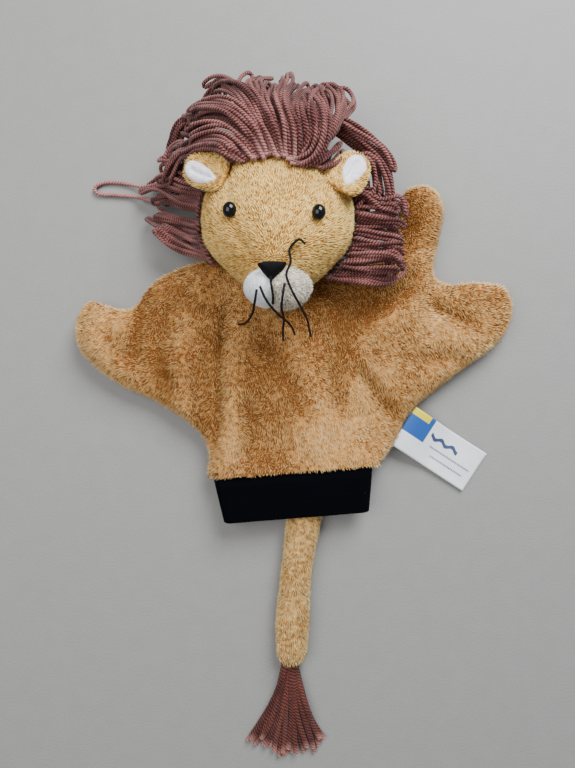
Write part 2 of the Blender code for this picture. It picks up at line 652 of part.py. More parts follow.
def make_neck(neck_pivot, head_pivot):
    """The plush neck tube on the glove, and the cloth finger sleeve that runs on into the head."""
    start, end = NECK_Y + ROOT_GAP, NECK_Y + ROOT_GAP + NECK_LENGTH

    def stations(slim, reach):
        tall, wide = NECK_HEIGHT / 2 - slim, NECK_WIDTH / 2 - slim
        return [(HEAD_X, y, NECK_Z - tall, NECK_Z + tall, wide) for y in (start - reach, end + reach)]

    neck = add_object("neck_tube", loft("neck tube", stations(0.0, 0.0)), "caramel plush", neck_pivot)
    boolean(neck, add_object("neck_cutter", loft("neck hollow", stations(NECK_WALL, 0.005))))
    sleeve_start = end - SLEEVE_OVERLAP
    sleeve_end = sleeve_start + SLEEVE_LENGTH
    shape = loft("finger sleeve", sleeve_stations(0.0, sleeve_start, sleeve_end))
    sleeve = add_object("finger_sleeve", shape, "lining cloth", head_pivot)
    inside = sleeve_stations(SLEEVE_WALL, sleeve_start - 0.005, sleeve_end - SLEEVE_WALL)
    boolean(sleeve, add_object("sleeve_cutter", loft("sleeve hollow", inside)))
    room = sleeve_stations(-SEAM_GAP, sleeve_start - 0.005, sleeve_end + SEAM_GAP)
    return add_object("sleeve_room", loft("sleeve room", room))


def make_head(parent, sleeve_room):
    """Four plush covers round the stuffing, sewn beside the strip down the face and round the back."""
    through, seats = make_eyes(parent)
    hollow = head_form("head_hollow", WALL)
    filling = head_form("head_filling", WALL + SEAM_GAP)
    rx, ry, rz = HEAD_RADII
    stuffing = block("head_stuffing", (HEAD_X - 1.2 * rx, HEAD_Y - 1.2 * ry, HEAD_Z - 1.2 * rz),
                     (HEAD_X + 1.2 * rx, HEAD_Y + 1.2 * ry, HEAD_Z + 1.2 * rz))
    stuffing.hide_render, stuffing.display_type = False, "TEXTURED"
    stuffing.data.materials.append(material("stuffing"))
    stuffing.parent = parent
    stuffing.matrix_parent_inverse = Matrix.Translation(-parent.location)
    boolean(stuffing, filling, "INTERSECT")
    for cutter in [sleeve_room] + seats:
        boolean(stuffing, cutter)
    left, right = FACE_SEAMS
    gap, far = SEAM_GAP / 2, 0.09
    behind = HEAD_Y + far
    regions = {
        "head_face_strip": ((left + gap, 0.0, HEAD_Z + gap), (right - gap, behind, far)),
        "head_cheek_left": ((-far, 0.0, HEAD_Z + gap), (left - gap, behind, far)),
        "head_cheek_right": ((right + gap, 0.0, HEAD_Z + gap), (far, behind, far)),
        "head_back": ((-far, 0.0, -0.01), (far, behind, HEAD_Z - gap)),
    }
    outer = ball("head cover", (HEAD_X, HEAD_Y, HEAD_Z), HEAD_RADII)
    outer.materials.append(material("tan plush"))
    for name, (low, high) in regions.items():
        cover = add_object(name, outer, "tan plush", parent)
        boolean(cover, clearance(f"{name}_clearance", 0.0))
        boolean(cover, hollow)
        boolean(cover, sleeve_room)
        if name != "head_back":
            for cutter in through:
                boolean(cover, cutter)
        boolean(cover, block(f"{name}_region", low, high), "INTERSECT")


def muzzle_height(x, y, grow=0.0):
    """Height of the muzzle's front over (x, y)."""
    (cx, cy, cz), (rx, ry, rz) = MUZZLE_CENTRE, (r + grow for r in MUZZLE_RADII)
    return cz + rz * math.sqrt(max(0.0, 1 - ((x - cx) / rx) ** 2 - ((y - cy) / ry) ** 2))


def make_muzzle(parent):
    """The muzzle's two halves, the nose that is seated on them, and the stitch of the mouth."""
    face = head_form("face_seat_cutter", -SEAM_GAP)
    shape = ball("muzzle", MUZZLE_CENTRE, MUZZLE_RADII)
    gap, far = SEAM_GAP, 0.06
    sides = {
        "muzzle_left": ("white plush", (-far, 0.0, 0.0), (MOUTH_X - gap, 0.2, 0.1)),
        "muzzle_right": ("cream plush", (MOUTH_X + gap, 0.0, 0.0), (far, 0.2, 0.1)),
    }
    for name, (finish, low, high) in sides.items():
        pad = add_object(name, shape.copy(), finish, parent)
        boolean(pad, face)
        boolean(pad, clearance(f"{name}_clearance", 0.0))
        boolean(pad, block(f"{name}_region", low, high), "INTERSECT")
    half = NOSE_WIDTH / 2
    corners = [(MOUTH_X, NOSE_Y - NOSE_HEIGHT), (MOUTH_X + half, NOSE_Y), (MOUTH_X - half, NOSE_Y)]
    outline = smooth_outline([p for c, d in zip(corners, corners[1:] + corners[:1])
                              for p in (c, tuple(np.add(c, d) / 2))], steps=3)
    shape = pillow("nose", outline, NOSE_LOW_Z, NOSE_TOP_Z, NOSE_ROUND, bands=2)
    nose = add_object("nose", shape, "black felt", parent)
    grown = [r + SEAM_GAP for r in MUZZLE_RADII]
    boolean(nose, add_object("nose_seat_cutter", ball("nose seat", MUZZLE_CENTRE, grown)))
    ys = np.linspace(NOSE_Y - NOSE_HEIGHT - 0.0015, MUZZLE_CENTRE[1] - MUZZLE_RADII[1] * 0.82, 5)
    line = [(MOUTH_X, y, muzzle_height(MOUTH_X, y) + WHISKER_DIAMETER * 0.85) for y in ys]
    thread("mouth_stitch", line, WHISKER_DIAMETER, "black thread", parent)


def ear_turn(heading):
    """Turns a leaf that lies along +X to the ear's heading, with its tip low."""
    return Matrix.Rotation(heading, 4, "Z") @ Matrix.Rotation(-EAR_PITCH, 4, "Y")


def make_ears(pivots):
    """Each ear is a plush leaf with a white lining let into its front."""
    rooms = []
    face = head_form("ear_seat_cutter", -SEAM_GAP)
    for side, (centre, heading) in EARS.items():
        turn = ear_turn(heading)
        radii = (EAR_LENGTH / 2, EAR_WIDTH / 2, EAR_THICKNESS / 2)
        leaf = add_object(f"ear_{side}_cover", ball(f"ear {side} cover", centre, radii, turn, 14, 8),
                          "tan plush", pivots[side])
        slim = (radii[0] - EAR_RIM, radii[1] - EAR_RIM, LINING_THICKNESS / 2)
        lift = turn @ Vector((0.0, 0.0, EAR_THICKNESS / 2 - LINING_THICKNESS / 4))
        spot = Vector(centre) + lift
        lining = add_object(f"ear_{side}_lining", ball(f"ear {side} lining", spot, slim, turn, 14, 6),
                            "white plush", pivots[side])
        boolean(lining, face)
        grown = [r + SEAM_GAP for r in slim]
        boolean(leaf, add_object(f"ear_{side}_seat", ball(f"ear {side} seat", spot, grown, turn, 14, 6)))
        boolean(leaf, face)
        wide = [r + EAR_ROOM for r in radii[:2]]
        angles = [2 * math.pi * k / 20 for k in range(20)]
        flat_turn = Matrix.Rotation(heading, 4, "Z")
        spots = [flat_turn @ Vector((wide[0] * math.cos(a), wide[1] * math.sin(a), 0)) for a in angles]
        outline = [(centre[0] + p.x, centre[1] + p.y) for p in spots]
        base = centre[2] - EAR_THICKNESS / 2 - abs(math.sin(EAR_PITCH)) * EAR_LENGTH / 2 - EAR_ROOM
        rooms.append(add_object(f"ear_{side}_room", prism(f"ear {side} room", outline, base, 0.1)))
    return rooms


def make_mane(parent, ear_rooms):
    """Plain solids for the bundles of yarn loops round the head, and the one loop that lies apart."""
    face = head_form("mane_seat_cutter", -SEAM_GAP)
    middle = np.array((HEAD_X, HEAD_Y))
    left = middle + smooth_outline([
        (-0.0417, -0.0165), (-0.0387, 0.0050), (-0.0397, 0.0270), (-0.0517, 0.0340),
        (-0.0667, 0.0270), (-0.0732, 0.0090), (-0.0687, -0.0090), (-0.0567, -0.0180)])
    right = middle + smooth_outline([
        (0.0343, -0.0290), (0.0523, -0.0335), (0.0653, -0.0250), (0.0663, -0.0080),
        (0.0658, 0.0090), (0.0583, 0.0240), (0.0493, 0.0320), (0.0443, 0.0260),
        (0.0468, 0.0090), (0.0453, -0.0030), (0.0343, -0.0130)])
    on_glove = GLOVE_THICKNESS + REST_GAP
    shapes = {
        "mane_top": ball("mane top", MANE_TOP_CENTRE, MANE_TOP_RADII, None, 20, 10),
        "mane_left": pillow("mane left", left, SEAM_GAP, MANE_LEFT_TOP_Z, 0.006, bands=2),
        "mane_right": pillow("mane right", right, on_glove, MANE_RIGHT_TOP_Z, 0.005, bands=2),
    }
    for name, mesh in shapes.items():
        bundle = add_object(name, mesh, "rose yarn", parent)
        boolean(bundle, face)
        boolean(bundle, clearance(f"{name}_clearance", 0.0, lean=0.0))
        for room in ear_rooms:
            boolean(bundle, room)
    loop = [(-0.0830, 0.1165, 0.0045), (-0.0950, 0.1195, 0.0019), (-0.1070, 0.1205, 0.0018),
            (-0.1140, 0.1175, 0.0018), (-0.1120, 0.1135, 0.0018), (-0.1030, 0.1125, 0.0018),
            (-0.0920, 0.1105, 0.0020), (-0.0835, 0.1090, 0.0045)]
    thread("mane_loop", loop, YARN_DIAMETER, "rose yarn", parent)


def make_whiskers(parent):
    """Four black threads knotted to the muzzle, which hang over the chin to the chest."""
    routes = {
        "whisker_left_inner": [
            (-0.0165, 0.0515, 0.0575), (-0.0135, 0.0450, 0.0570), (-0.0085, 0.0395, 0.0500),
            (-0.0040, 0.0370, 0.0370), (-0.0010, 0.0350, 0.0260), (0.0010, 0.0310, 0.0205)],
        "whisker_left_outer": [
            (-0.0180, 0.0500, 0.0575), (-0.0190, 0.0445, 0.0555), (-0.0205, 0.0410, 0.0450),
            (-0.0230, 0.0390, 0.0310), (-0.0265, 0.0370, 0.0220), (-0.0300, 0.0368, 0.0192)],
        "whisker_right_outer": [
            (0.0054, 0.0722, 0.0569), (0.0022, 0.0740, 0.0582), (-0.0020, 0.0695, 0.0574),
            (-0.0016, 0.0632, 0.0560), (-0.0036, 0.0572, 0.0590), (-0.0025, 0.0525, 0.0592),
            (0.0005, 0.0465, 0.0575), (0.0045, 0.0410, 0.0480),
            (0.0070, 0.0385, 0.0330), (0.0085, 0.0350, 0.0235), (0.0095, 0.0300, 0.0200)],
        "whisker_right_inner": [
            (-0.0045, 0.0525, 0.0600), (-0.0055, 0.0460, 0.0590), (-0.0060, 0.0415, 0.0500),
            (-0.0050, 0.0385, 0.0340), (-0.0055, 0.0340, 0.0235), (-0.0055, 0.0280, 0.0200)],
    }
    for name, route in routes.items():
        thread(name, route, WHISKER_DIAMETER, "black thread", parent)


def middle_of(line, z):
    """The middle of a line on the ground plan, lifted to z."""
    return ((line[0][0] + line[1][0]) / 2, (line[0][1] + line[1][1]) / 2, z)


def main():
    clear_scene()
    curl_z = GLOVE_THICKNESS
    make_glove({
        "arm_left": pivot("arm_left_pivot", middle_of(ARM_LEFT_ROOT, curl_z)),
        "arm_right": pivot("arm_right_pivot", middle_of(ARM_RIGHT_ROOT, curl_z)),
        "paw_upper_right": pivot("paw_upper_right_pivot", middle_of(PAW_RIGHT_ROOT, curl_z)),
    })
    make_folded_paw(pivot("paw_upper_left_pivot", middle_of(FOLD_LINE, FOLD_AXIS_Z)))
    make_cuff()
    tail_root = tail_station(TAIL_ROOT_RADIUS)
    tail_end = tail_station(TAIL_LENGTH)
    make_tail(pivot("tail_pivot", (tail_root[0], tail_root[1], 0.0)),
              pivot("tassel_pivot", (tail_end[0], tail_end[1] - TASSEL_ROOT_RADIUS - ROOT_GAP, 0.0)))
    make_label(pivot("label_pivot", (*LABEL_ROOT, SEAM_Z)))
    neck_pivot = pivot("neck_pivot", (HEAD_X, NOD_Y, GLOVE_THICKNESS))
    head_pivot = pivot("head_pivot", (HEAD_X, NECK_Y + NECK_LENGTH, NECK_Z))
    make_head(head_pivot, make_neck(neck_pivot, head_pivot))
    make_muzzle(head_pivot)
    ear_pivots = {}
    for side, (centre, heading) in EARS.items():
        base = ear_turn(heading) @ Vector((EAR_LENGTH / 2, 0, 0))
        ear_pivots[side] = pivot(f"ear_{side}_pivot", Vector(centre) - base)
    make_mane(head_pivot, make_ears(ear_pivots))
    make_whiskers(head_pivot)


main()
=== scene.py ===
"""The looks of a plush lion glove puppet that lies face up: sewn plush with real pile, a ribbed cuff, a satin
label, a stuffed head with a yarn mane, threads for whiskers, and a stuffed tail with a yarn tassel.

Lengths are metres in the row frame: +Y to the top of the head, +Z out of the face, the table at Z = 0.
"""

import logging
import math
from collections.abc import Callable
from dataclasses import dataclass, field, fields
from enum import Enum

import bmesh
import bpy
import numpy as np
from mathutils import Matrix, Vector, noise
from mathutils.geometry import delaunay_2d_cdt


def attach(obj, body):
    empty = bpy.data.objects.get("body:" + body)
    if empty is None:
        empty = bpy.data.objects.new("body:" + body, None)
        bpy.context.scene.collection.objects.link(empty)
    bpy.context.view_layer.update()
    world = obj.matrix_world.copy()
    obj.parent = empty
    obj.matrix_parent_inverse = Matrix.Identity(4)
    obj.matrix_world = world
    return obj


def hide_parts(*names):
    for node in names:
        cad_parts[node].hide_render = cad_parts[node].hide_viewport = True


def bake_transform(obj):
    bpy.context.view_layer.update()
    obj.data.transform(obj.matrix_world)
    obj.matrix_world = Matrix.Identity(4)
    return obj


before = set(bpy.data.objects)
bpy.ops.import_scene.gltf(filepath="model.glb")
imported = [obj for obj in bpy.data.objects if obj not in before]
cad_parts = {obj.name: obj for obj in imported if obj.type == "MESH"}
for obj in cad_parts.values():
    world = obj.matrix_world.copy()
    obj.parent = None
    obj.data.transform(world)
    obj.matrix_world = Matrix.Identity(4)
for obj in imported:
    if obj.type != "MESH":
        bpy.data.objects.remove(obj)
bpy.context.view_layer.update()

LOG = logging.getLogger("lion_puppet")
Colour = tuple[float, float, float]
Point = tuple[float, float, float]
Spot = tuple[float, float]

MM = 0.001
TABLE_CLEAR = 0.0003  # the lowest that any piece reaches over the table
TABLE_HALF = 2.5
ROOM_COLOUR = (0.80, 0.86, 0.92)
ROOM_STRENGTH = 0.42
CAMERA_PLACE = (-0.0031, 0.0042, 0.3464)
CAMERA_LENS = 28.0


# ---------------------------------------------------------------- node graphs


def _operator(operation: str, swapped: bool = False) -> "Callable[[Signal, Signal | float], Signal]":
    """An operator of Signal, as a method that adds one Math node.

    Args:
        operation: the node's operation.
        swapped: whether the signal stands on the operator's right.

    Returns:
        The method.
    """
    def method(self: "Signal", other: "Signal | float") -> "Signal":
        """The operator."""
        return self.maths(operation, *((other, self) if swapped else (self, other)))
    return method


class Signal:
    """One output of a node, with Python's operators as Math nodes."""

    def __init__(self, graph: "Graph", socket: bpy.types.NodeSocket) -> None:
        """Keeps the graph that the socket belongs to."""
        self.graph, self.socket = graph, socket

    def maths(self, operation: str, *values: "Signal | float") -> "Signal":
        """Adds one Math node."""
        return self.graph.node("ShaderNodeMath", {"operation": operation}, dict(enumerate(values)))

    __add__, __radd__ = _operator("ADD"), _operator("ADD", True)
    __sub__, __rsub__ = _operator("SUBTRACT"), _operator("SUBTRACT", True)
    __mul__, __rmul__ = _operator("MULTIPLY"), _operator("MULTIPLY", True)
    __truediv__, __rtruediv__ = _operator("DIVIDE"), _operator("DIVIDE", True)

    def sine(self) -> "Signal":
        """The sine of the value, in radians."""
        return self.maths("SINE", self)

    def clamped(self) -> "Signal":
        """The value kept from 0 to 1."""
        return self.maths("MINIMUM", self.maths("MAXIMUM", self, 0.0), 1.0)

    def over(self, other: "Signal | float") -> "Signal":
        """1 where the value is over the other, 0 elsewhere."""
        return self.maths("GREATER_THAN", self, other)

    def within(self, centre: "Signal | float", half: float) -> "Signal":
        """1 where the value is nearer to the centre than half, 0 elsewhere."""
        return (self - centre + half).over(0.0) * (centre + half - self).over(0.0)


class Graph:
    """Adds nodes to one node tree."""

    def __init__(self, tree: bpy.types.NodeTree) -> None:
        """Keeps the tree."""
        self.tree = tree

    @staticmethod
    def pick(sockets: bpy.types.bpy_prop_collection, key: int | str) -> bpy.types.NodeSocket:
        """A socket by its number, or the first one in use that has the name."""
        if isinstance(key, int):
            return sockets[key]
        return next(s for s in sockets if s.name == key and s.enabled)

    def node(self, kind: str, settings: dict | None = None, values: dict | None = None,
             output: int | str = 0) -> Signal:
        """Adds a node of any type.

        Args:
            kind: the node's type name.
            settings: its own properties, set first; "stops" fills a colour ramp.
            values: a number, colour, text or Signal for each input, by number or name.
            output: which output is returned.

        Returns:
            The output as a Signal.
        """
        made = self.tree.nodes.new(kind)
        for key, value in (settings or {}).items():
            if key == "stops":
                self._fill_ramp(made.color_ramp, value)
            else:
                setattr(made, key, value)
        for key, value in (values or {}).items():
            socket = self.pick(made.inputs, key)
            if isinstance(value, Signal):
                self.tree.links.new(value.socket, socket)
            else:
                socket.default_value = value
        return Signal(self, self.pick(made.outputs, output))

    @staticmethod
    def _fill_ramp(ramp: bpy.types.ColorRamp, stops: list[tuple[float, Colour]]) -> None:
        """Sets a colour ramp's stops.

        Args:
            ramp: the ramp.
            stops: each stop's place and colour, in order.
        """
        while len(ramp.elements) > 1:
            ramp.elements.remove(ramp.elements[-1])
        for i, (place, colour) in enumerate(stops):
            element = ramp.elements[0] if i == 0 else ramp.elements.new(place)
            element.position = place
            element.color = (*colour, 1.0)

    def ramp(self, value: Signal, stops: list[tuple[float, Colour]]) -> Signal:
        """A colour picked from the stops by the value."""
        return self.node("ShaderNodeValToRGB", {"stops": stops}, {"Fac": value}, "Color")

    def noise(self, place: Signal, scale: float, detail: float = 2.0, output: str = "Fac",
              rough: float = 0.5) -> Signal:
        """Noise of about 1 / scale metres."""
        values = {"Vector": place, "Scale": scale, "Detail": detail, "Roughness": rough}
        return self.node("ShaderNodeTexNoise", {"noise_dimensions": "3D"}, values, output)

    def attribute(self, name: str) -> Signal:
        """A mesh attribute as a number."""
        return self.node("ShaderNodeAttribute", {"attribute_name": name}, output="Fac")

    def axis(self, place: Signal, name: str) -> Signal:
        """One part, X, Y or Z, of a vector."""
        return self.node("ShaderNodeSeparateXYZ", None, {0: place}, name)

    def store(self, shape: Signal, name: str, value: Signal, domain: str = "POINT") -> Signal:
        """A geometry with a number stored as an attribute."""
        return self.node("GeometryNodeStoreNamedAttribute", {"data_type": "FLOAT", "domain": domain},
                         {"Geometry": shape, "Name": name, "Value": value})

    def random(self, **values: "Signal | float | Point") -> Signal:
        """A random number, or a vector when Min is one."""
        kind = "FLOAT_VECTOR" if isinstance(values.get("Min"), tuple) else "FLOAT"
        return self.node("FunctionNodeRandomValue", {"data_type": kind}, values, "Value")

    def real(self, shape: Signal, material: Signal) -> Signal:
        """A geometry with real, smooth faces of one material.

        Args:
            shape: the geometry.
            material: its material.

        Returns:
            The finished geometry.
        """
        shape = self.node("GeometryNodeRealizeInstances", None, {0: shape})
        shape = self.node("GeometryNodeSetShadeSmooth", None, {0: shape, "Shade Smooth": True})
        return self.node("GeometryNodeSetMaterial", None, {0: shape, "Material": material})

    def vector(self, operation: str, first: "Signal | Point", second: "Signal | Point | float") -> Signal:
        """Adds one Vector Math node; SCALE takes a number as its second value."""
        place = "Scale" if operation == "SCALE" else 1
        return self.node("ShaderNodeVectorMath", {"operation": operation}, {0: first, place: second})

    def mix(self, share: Signal, low: "Signal | Colour", high: "Signal | Colour",
            way: str = "MIX") -> Signal:
        """Two colours mixed by a share."""
        ends = [v if isinstance(v, Signal) else (*v, 1.0) for v in (low, high)]
        return self.node("ShaderNodeMix", {"data_type": "RGBA", "blend_type": way},
                         {0: share, 6: ends[0], 7: ends[1]}, 2)


class Finish:
    """A Principled material that a subclass paints."""

    name: str

    def paint(self, graph: Graph, place: Signal, shader: bpy.types.Node) -> None:
        """Adds the pattern's nodes; place is the Object coordinate."""
        raise NotImplementedError

    def material(self) -> bpy.types.Material:
        """The finish's material, made once.

        Returns:
            The material.
        """
        found = bpy.data.materials.get(self.name)
        if found:
            return found
        made = bpy.data.materials.new(self.name)
        made.use_nodes = True
        graph = Graph(made.node_tree)
        shader = next(n for n in made.node_tree.nodes if n.type == "BSDF_PRINCIPLED")
        self.paint(graph, graph.node("ShaderNodeTexCoord", output="Object"), shader)
        return made

    @staticmethod
    def feed(graph: Graph, shader: bpy.types.Node, **values: "Signal | float | Colour") -> None:
        """Sets or links the shader's inputs; Base_Color stands for Base Color.

        Args:
            graph: the material's node graph.
            shader: the Principled node.
            values: what each input gets.
        """
        for key, value in values.items():
            socket = shader.inputs[key.replace("_", " ")]
            if isinstance(value, Signal):
                graph.tree.links.new(value.socket, socket)
            else:
                socket.default_value = (*value, 1.0) if isinstance(value, tuple) else value

    @staticmethod
    def bump(graph: Graph, height: Signal, depth: float, strength: float = 1.0) -> Signal:
        """A normal from a height signal; depth is the height of 1, in metres."""
        return graph.node("ShaderNodeBump", None, {"Height": height, "Distance": depth, "Strength": strength},
                          "Normal")


@dataclass(frozen=True)
class PlushFinish(Finish):
    """Pile coloured dark at its roots and pale at its tips: painted shade deep in the pile and painted
    highlight on the tips.
    """

    name: str
    # root is painted shade deep in the pile and tip is a painted highlight on the tips; body is the cloth's
    # own colour
    root: Colour
    body: Colour
    tip: Colour
    patches: float = 0.30  # how much the colour wanders over the cloth
    patch_scale: float = 55.0
    clumps: float = 0.45

    def paint(self, graph: Graph, place: Signal, shader: bpy.types.Node) -> None:
        """Roots to tips by the pile's own attribute, as painted shade at the roots and painted highlight at
        the tips, with broad and fine variation, and with painted crease shade and painted light from the
        "fold" attribute.

        Args:
            graph: the material's node graph.
            place: the Object coordinate.
            shader: the Principled node.
        """
        tip, strand, fold = graph.attribute("tip"), graph.attribute("strand"), graph.attribute("fold")
        broad = graph.noise(place, self.patch_scale, 3.0)
        clump, fine = graph.noise(place, 420.0, 1.0), graph.noise(place, 1100.0, 2.0)
        # fold adds painted shade in the glove's crease valleys and painted light on its ridges and in patches
        level = (0.10 + tip * 0.56 + strand * 0.16 + (broad - 0.5) * self.patches * 2.0
                 + (clump - 0.5) * self.clumps * 2.0 + (fine - 0.5) * 0.25 + fold * 0.20)
        colour = graph.ramp(level.clamped(), [(0.04, self.root), (0.34, self.body), (0.85, self.tip)])
        self.feed(graph, shader, Base_Color=colour, Roughness=0.86 - 0.12 * tip, Sheen_Weight=0.10,
                  Sheen_Roughness=0.45, Sheen_Tint=self.tip, Specular_IOR_Level=0.14,
                  Normal=self.bump(graph, fine, 0.0004, 0.7))


@dataclass(frozen=True)
class KnitFinish(Finish):
    """Near-black cotton rib."""

    name: str = "black_rib_knit"
    pitch: float = 0.0011  # one row of stitches

    def paint(self, graph: Graph, place: Signal, shader: bpy.types.Node) -> None:
        """Stitch rows across the ribs, pale lint and a little fuzz.

        Args:
            graph: the material's node graph.
            place: the Object coordinate.
            shader: the Principled node.
        """
        rows = (graph.axis(place, "Y") * (math.tau / self.pitch)).sine() * 0.5 + 0.5
        fuzz = graph.noise(place, 1500.0, 3.0)
        lint = graph.noise(place, 260.0, 4.0).over(0.735)
        shade = (rows * 0.4 + fuzz * 0.6).clamped()
        colour = graph.ramp(shade, [(0.1, (0.0005, 0.0006, 0.0011)), (0.8, (0.0016, 0.0019, 0.0034))])
        colour = graph.mix(lint * 0.08, colour, (0.10, 0.10, 0.12))
        self.feed(graph, shader, Base_Color=colour, Roughness=0.95, Sheen_Weight=0.004, Sheen_Roughness=0.5,
                  Specular_IOR_Level=0.03, Normal=self.bump(graph, shade, 0.0003, 0.8))


@dataclass(frozen=True)
class YarnFinish(Finish):
    """Plied yarn: the plies wind round the strand, by its "side_x", "side_y" and "run" attributes."""

    name: str
    # deep is painted shade between the plies and crest is a painted highlight on them; body is the yarn's own
    # colour
    deep: Colour
    body: Colour
    crest: Colour
    frayed: Colour
    pitch: float = 0.0032  # one full turn of the plies
    plies: int = 2
    relief: float = 0.00045
    sheen: float = 0.15
    specular: float = 0.2

    def paint(self, graph: Graph, place: Signal, shader: bpy.types.Node) -> None:
        """Painted shade between the plies and painted highlight on their crests; pale at frayed ends.

        Args:
            graph: the material's node graph.
            place: the Object coordinate.
            shader: the Principled node.
        """
        strand, end = graph.attribute("strand"), graph.attribute("end")
        angle = graph.node("ShaderNodeMath", {"operation": "ARCTAN2"},
                           {0: graph.attribute("side_y"), 1: graph.attribute("side_x")})
        turns = graph.attribute("run") * (math.tau / self.pitch)
        crest = ((angle + turns) * self.plies).sine() * 0.5 + 0.5
        broad, fibre = graph.noise(place, 90.0, 2.0), graph.noise(place, 2600.0, 2.0)
        level = crest * 0.42 + strand * 0.26 + (broad - 0.5) * 0.6 + (fibre - 0.5) * 0.7 + 0.10
        colour = graph.ramp(level.clamped(), [(0.05, self.deep), (0.42, self.body), (0.9, self.crest)])
        colour = graph.mix((end * 0.7).clamped(), colour, self.frayed)
        self.feed(graph, shader, Base_Color=colour, Roughness=0.85, Sheen_Weight=self.sheen,
                  Sheen_Roughness=0.4, Specular_IOR_Level=self.specular,
                  Normal=self.bump(graph, crest * 0.8 + fibre * 0.2, self.relief, 0.9))


@dataclass(frozen=True)
class SatinFinish(Finish):
    """Woven white ribbon with a plain blue and yellow patch at its sewn end."""

    name: str = "white_satin_ribbon"
    wefts: int = 130
    warps: int = 60
    wave: Spot = (0.66, 0.045)  # the wavy band's level and half its width, as shares of the ribbon's width
    lines: tuple[Point, ...] = ((0.44, 0.40, 0.94), (0.26, 0.46, 0.90))  # each line's level, start and end
    line_half: float = 0.022

    def paint(self, graph: Graph, place: Signal, shader: bpy.types.Node) -> None:
        """The ribbon's own map: U along it from the seam, V across it.

        Args:
            graph: the material's node graph.
            place: the Object coordinate.
            shader: the Principled node.
        """
        where = graph.node("ShaderNodeUVMap", {"uv_map": "ribbon"}, output="UV")
        along, across = graph.axis(where, "X"), graph.axis(where, "Y")
        weft = (along * (math.tau * self.wefts)).sine() * 0.5 + 0.5
        warp = (across * (math.tau * self.warps)).sine() * 0.5 + 0.5
        grey = graph.noise(place, 120.0, 3.0)
        colour = graph.ramp(grey * 0.6 + weft * 0.2 + warp * 0.2,
                            [(0.2, (0.66, 0.66, 0.74)), (0.7, (0.86, 0.86, 0.90))])
        blue = (0.30 - along).over(0.0) * (across - 0.42).over(0.0)
        yellow = (0.24 - along).over(0.0) * (across - 0.84).over(0.0)
        colour = graph.mix(blue, colour, (0.010, 0.085, 0.34))
        colour = graph.mix(yellow, colour, (0.78, 0.62, 0.02))
        level, half = self.wave
        inked = across.within((along * 42.0).sine() * 0.035 + level, half)
        inked = inked * (along - 0.34).over(0.0) * (0.72 - along).over(0.0)
        for level, start, end in self.lines:
            dashes = (along * 330.0).sine().over(-0.35) * (along - start).over(0.0) * (end - along).over(0.0)
            inked = inked + dashes * across.within(level, self.line_half)
        colour = graph.mix(inked.clamped(), colour, (0.035, 0.055, 0.14))
        self.feed(graph, shader, Base_Color=colour, Roughness=0.42 + grey * 0.12, Sheen_Weight=0.1,
                  Specular_IOR_Level=0.45, Normal=self.bump(graph, weft * 0.5 + warp * 0.5, 0.00012, 0.6))

@dataclass(frozen=True)
class PlainFinish(Finish):
    """A smooth, felted or woven surface in one hue with noise in colour and height."""

    name: str
    dark: Colour
    light: Colour
    rough: float
    grain: float = 1200.0
    depth: float = 0.0002
    sheen: float = 0.0
    specular: float = 0.4
    coat: float = 0.0

    def paint(self, graph: Graph, place: Signal, shader: bpy.types.Node) -> None:
        """Two noises for colour, and the fine one for height.

        Args:
            graph: the material's node graph.
            place: the Object coordinate.
            shader: the Principled node.
        """
        fine, broad = graph.noise(place, self.grain, 3.0), graph.noise(place, self.grain / 9, 2.0)
        colour = graph.ramp((fine * 0.6 + broad * 0.4).clamped(), [(0.25, self.dark), (0.75, self.light)])
        self.feed(graph, shader, Base_Color=colour, Roughness=self.rough, Sheen_Weight=self.sheen,
                  Specular_IOR_Level=self.specular, Coat_Weight=self.coat, Coat_Roughness=0.04,
                  Normal=self.bump(graph, fine, self.depth, 0.6))


GLOVE_PLUSH = PlushFinish("glove_caramel_plush", (0.19, 0.060, 0.010), (0.70, 0.365, 0.105),
                          (1.0, 0.78, 0.42), 0.20, 45.0, 0.38)
HEAD_PLUSH = PlushFinish("head_tan_plush", (0.34, 0.150, 0.026), (0.98, 0.64, 0.190), (1.0, 0.86, 0.40),
                         0.18, 55.0, 0.35)
TAIL_PLUSH = PlushFinish("tail_tan_plush", (0.32, 0.14, 0.030), (0.84, 0.54, 0.20), (1.0, 0.84, 0.48), 0.18)
WHITE_PLUSH = PlushFinish("muzzle_white_plush", (0.86, 0.88, 0.92), (0.97, 0.98, 1.0), (1.0, 1.0, 1.0), 0.06)
# the right muzzle lobe: its own cream tone, darkened as painted shade for the side the light leaves dim
CREAM_PLUSH = PlushFinish("muzzle_cream_plush", (0.36, 0.31, 0.24), (0.92, 0.84, 0.70), (1.0, 0.97, 0.88),
                          0.22, 140.0)
EAR_WHITE = PlushFinish("ear_white_fleece", (0.78, 0.76, 0.84), (0.95, 0.94, 1.0), (1.0, 1.0, 1.0), 0.10)
CUFF_KNIT = KnitFinish()
MANE_YARN = YarnFinish("mane_rose_yarn", (0.014, 0.0024, 0.0024), (0.100, 0.026, 0.023),
                       (0.39, 0.165, 0.150), (0.46, 0.23, 0.21))
LOOP_YARN = YarnFinish("mane_stray_yarn", (0.14, 0.040, 0.042), (0.36, 0.145, 0.140), (0.60, 0.33, 0.31),
                       (0.55, 0.30, 0.28))
TASSEL_YARN = YarnFinish("tassel_rose_yarn", (0.011, 0.0022, 0.0018), (0.072, 0.016, 0.012),
                         (0.20, 0.062, 0.046), (0.42, 0.20, 0.17), 0.0056, 3)
BLACK_THREAD = YarnFinish("black_waxed_thread", (0.0012, 0.0012, 0.0015), (0.004, 0.004, 0.005),
                          (0.012, 0.012, 0.014), (0.01, 0.01, 0.01), 0.0026, 2, 0.0002, 0.0, 0.25)
LABEL_SATIN = SatinFinish()
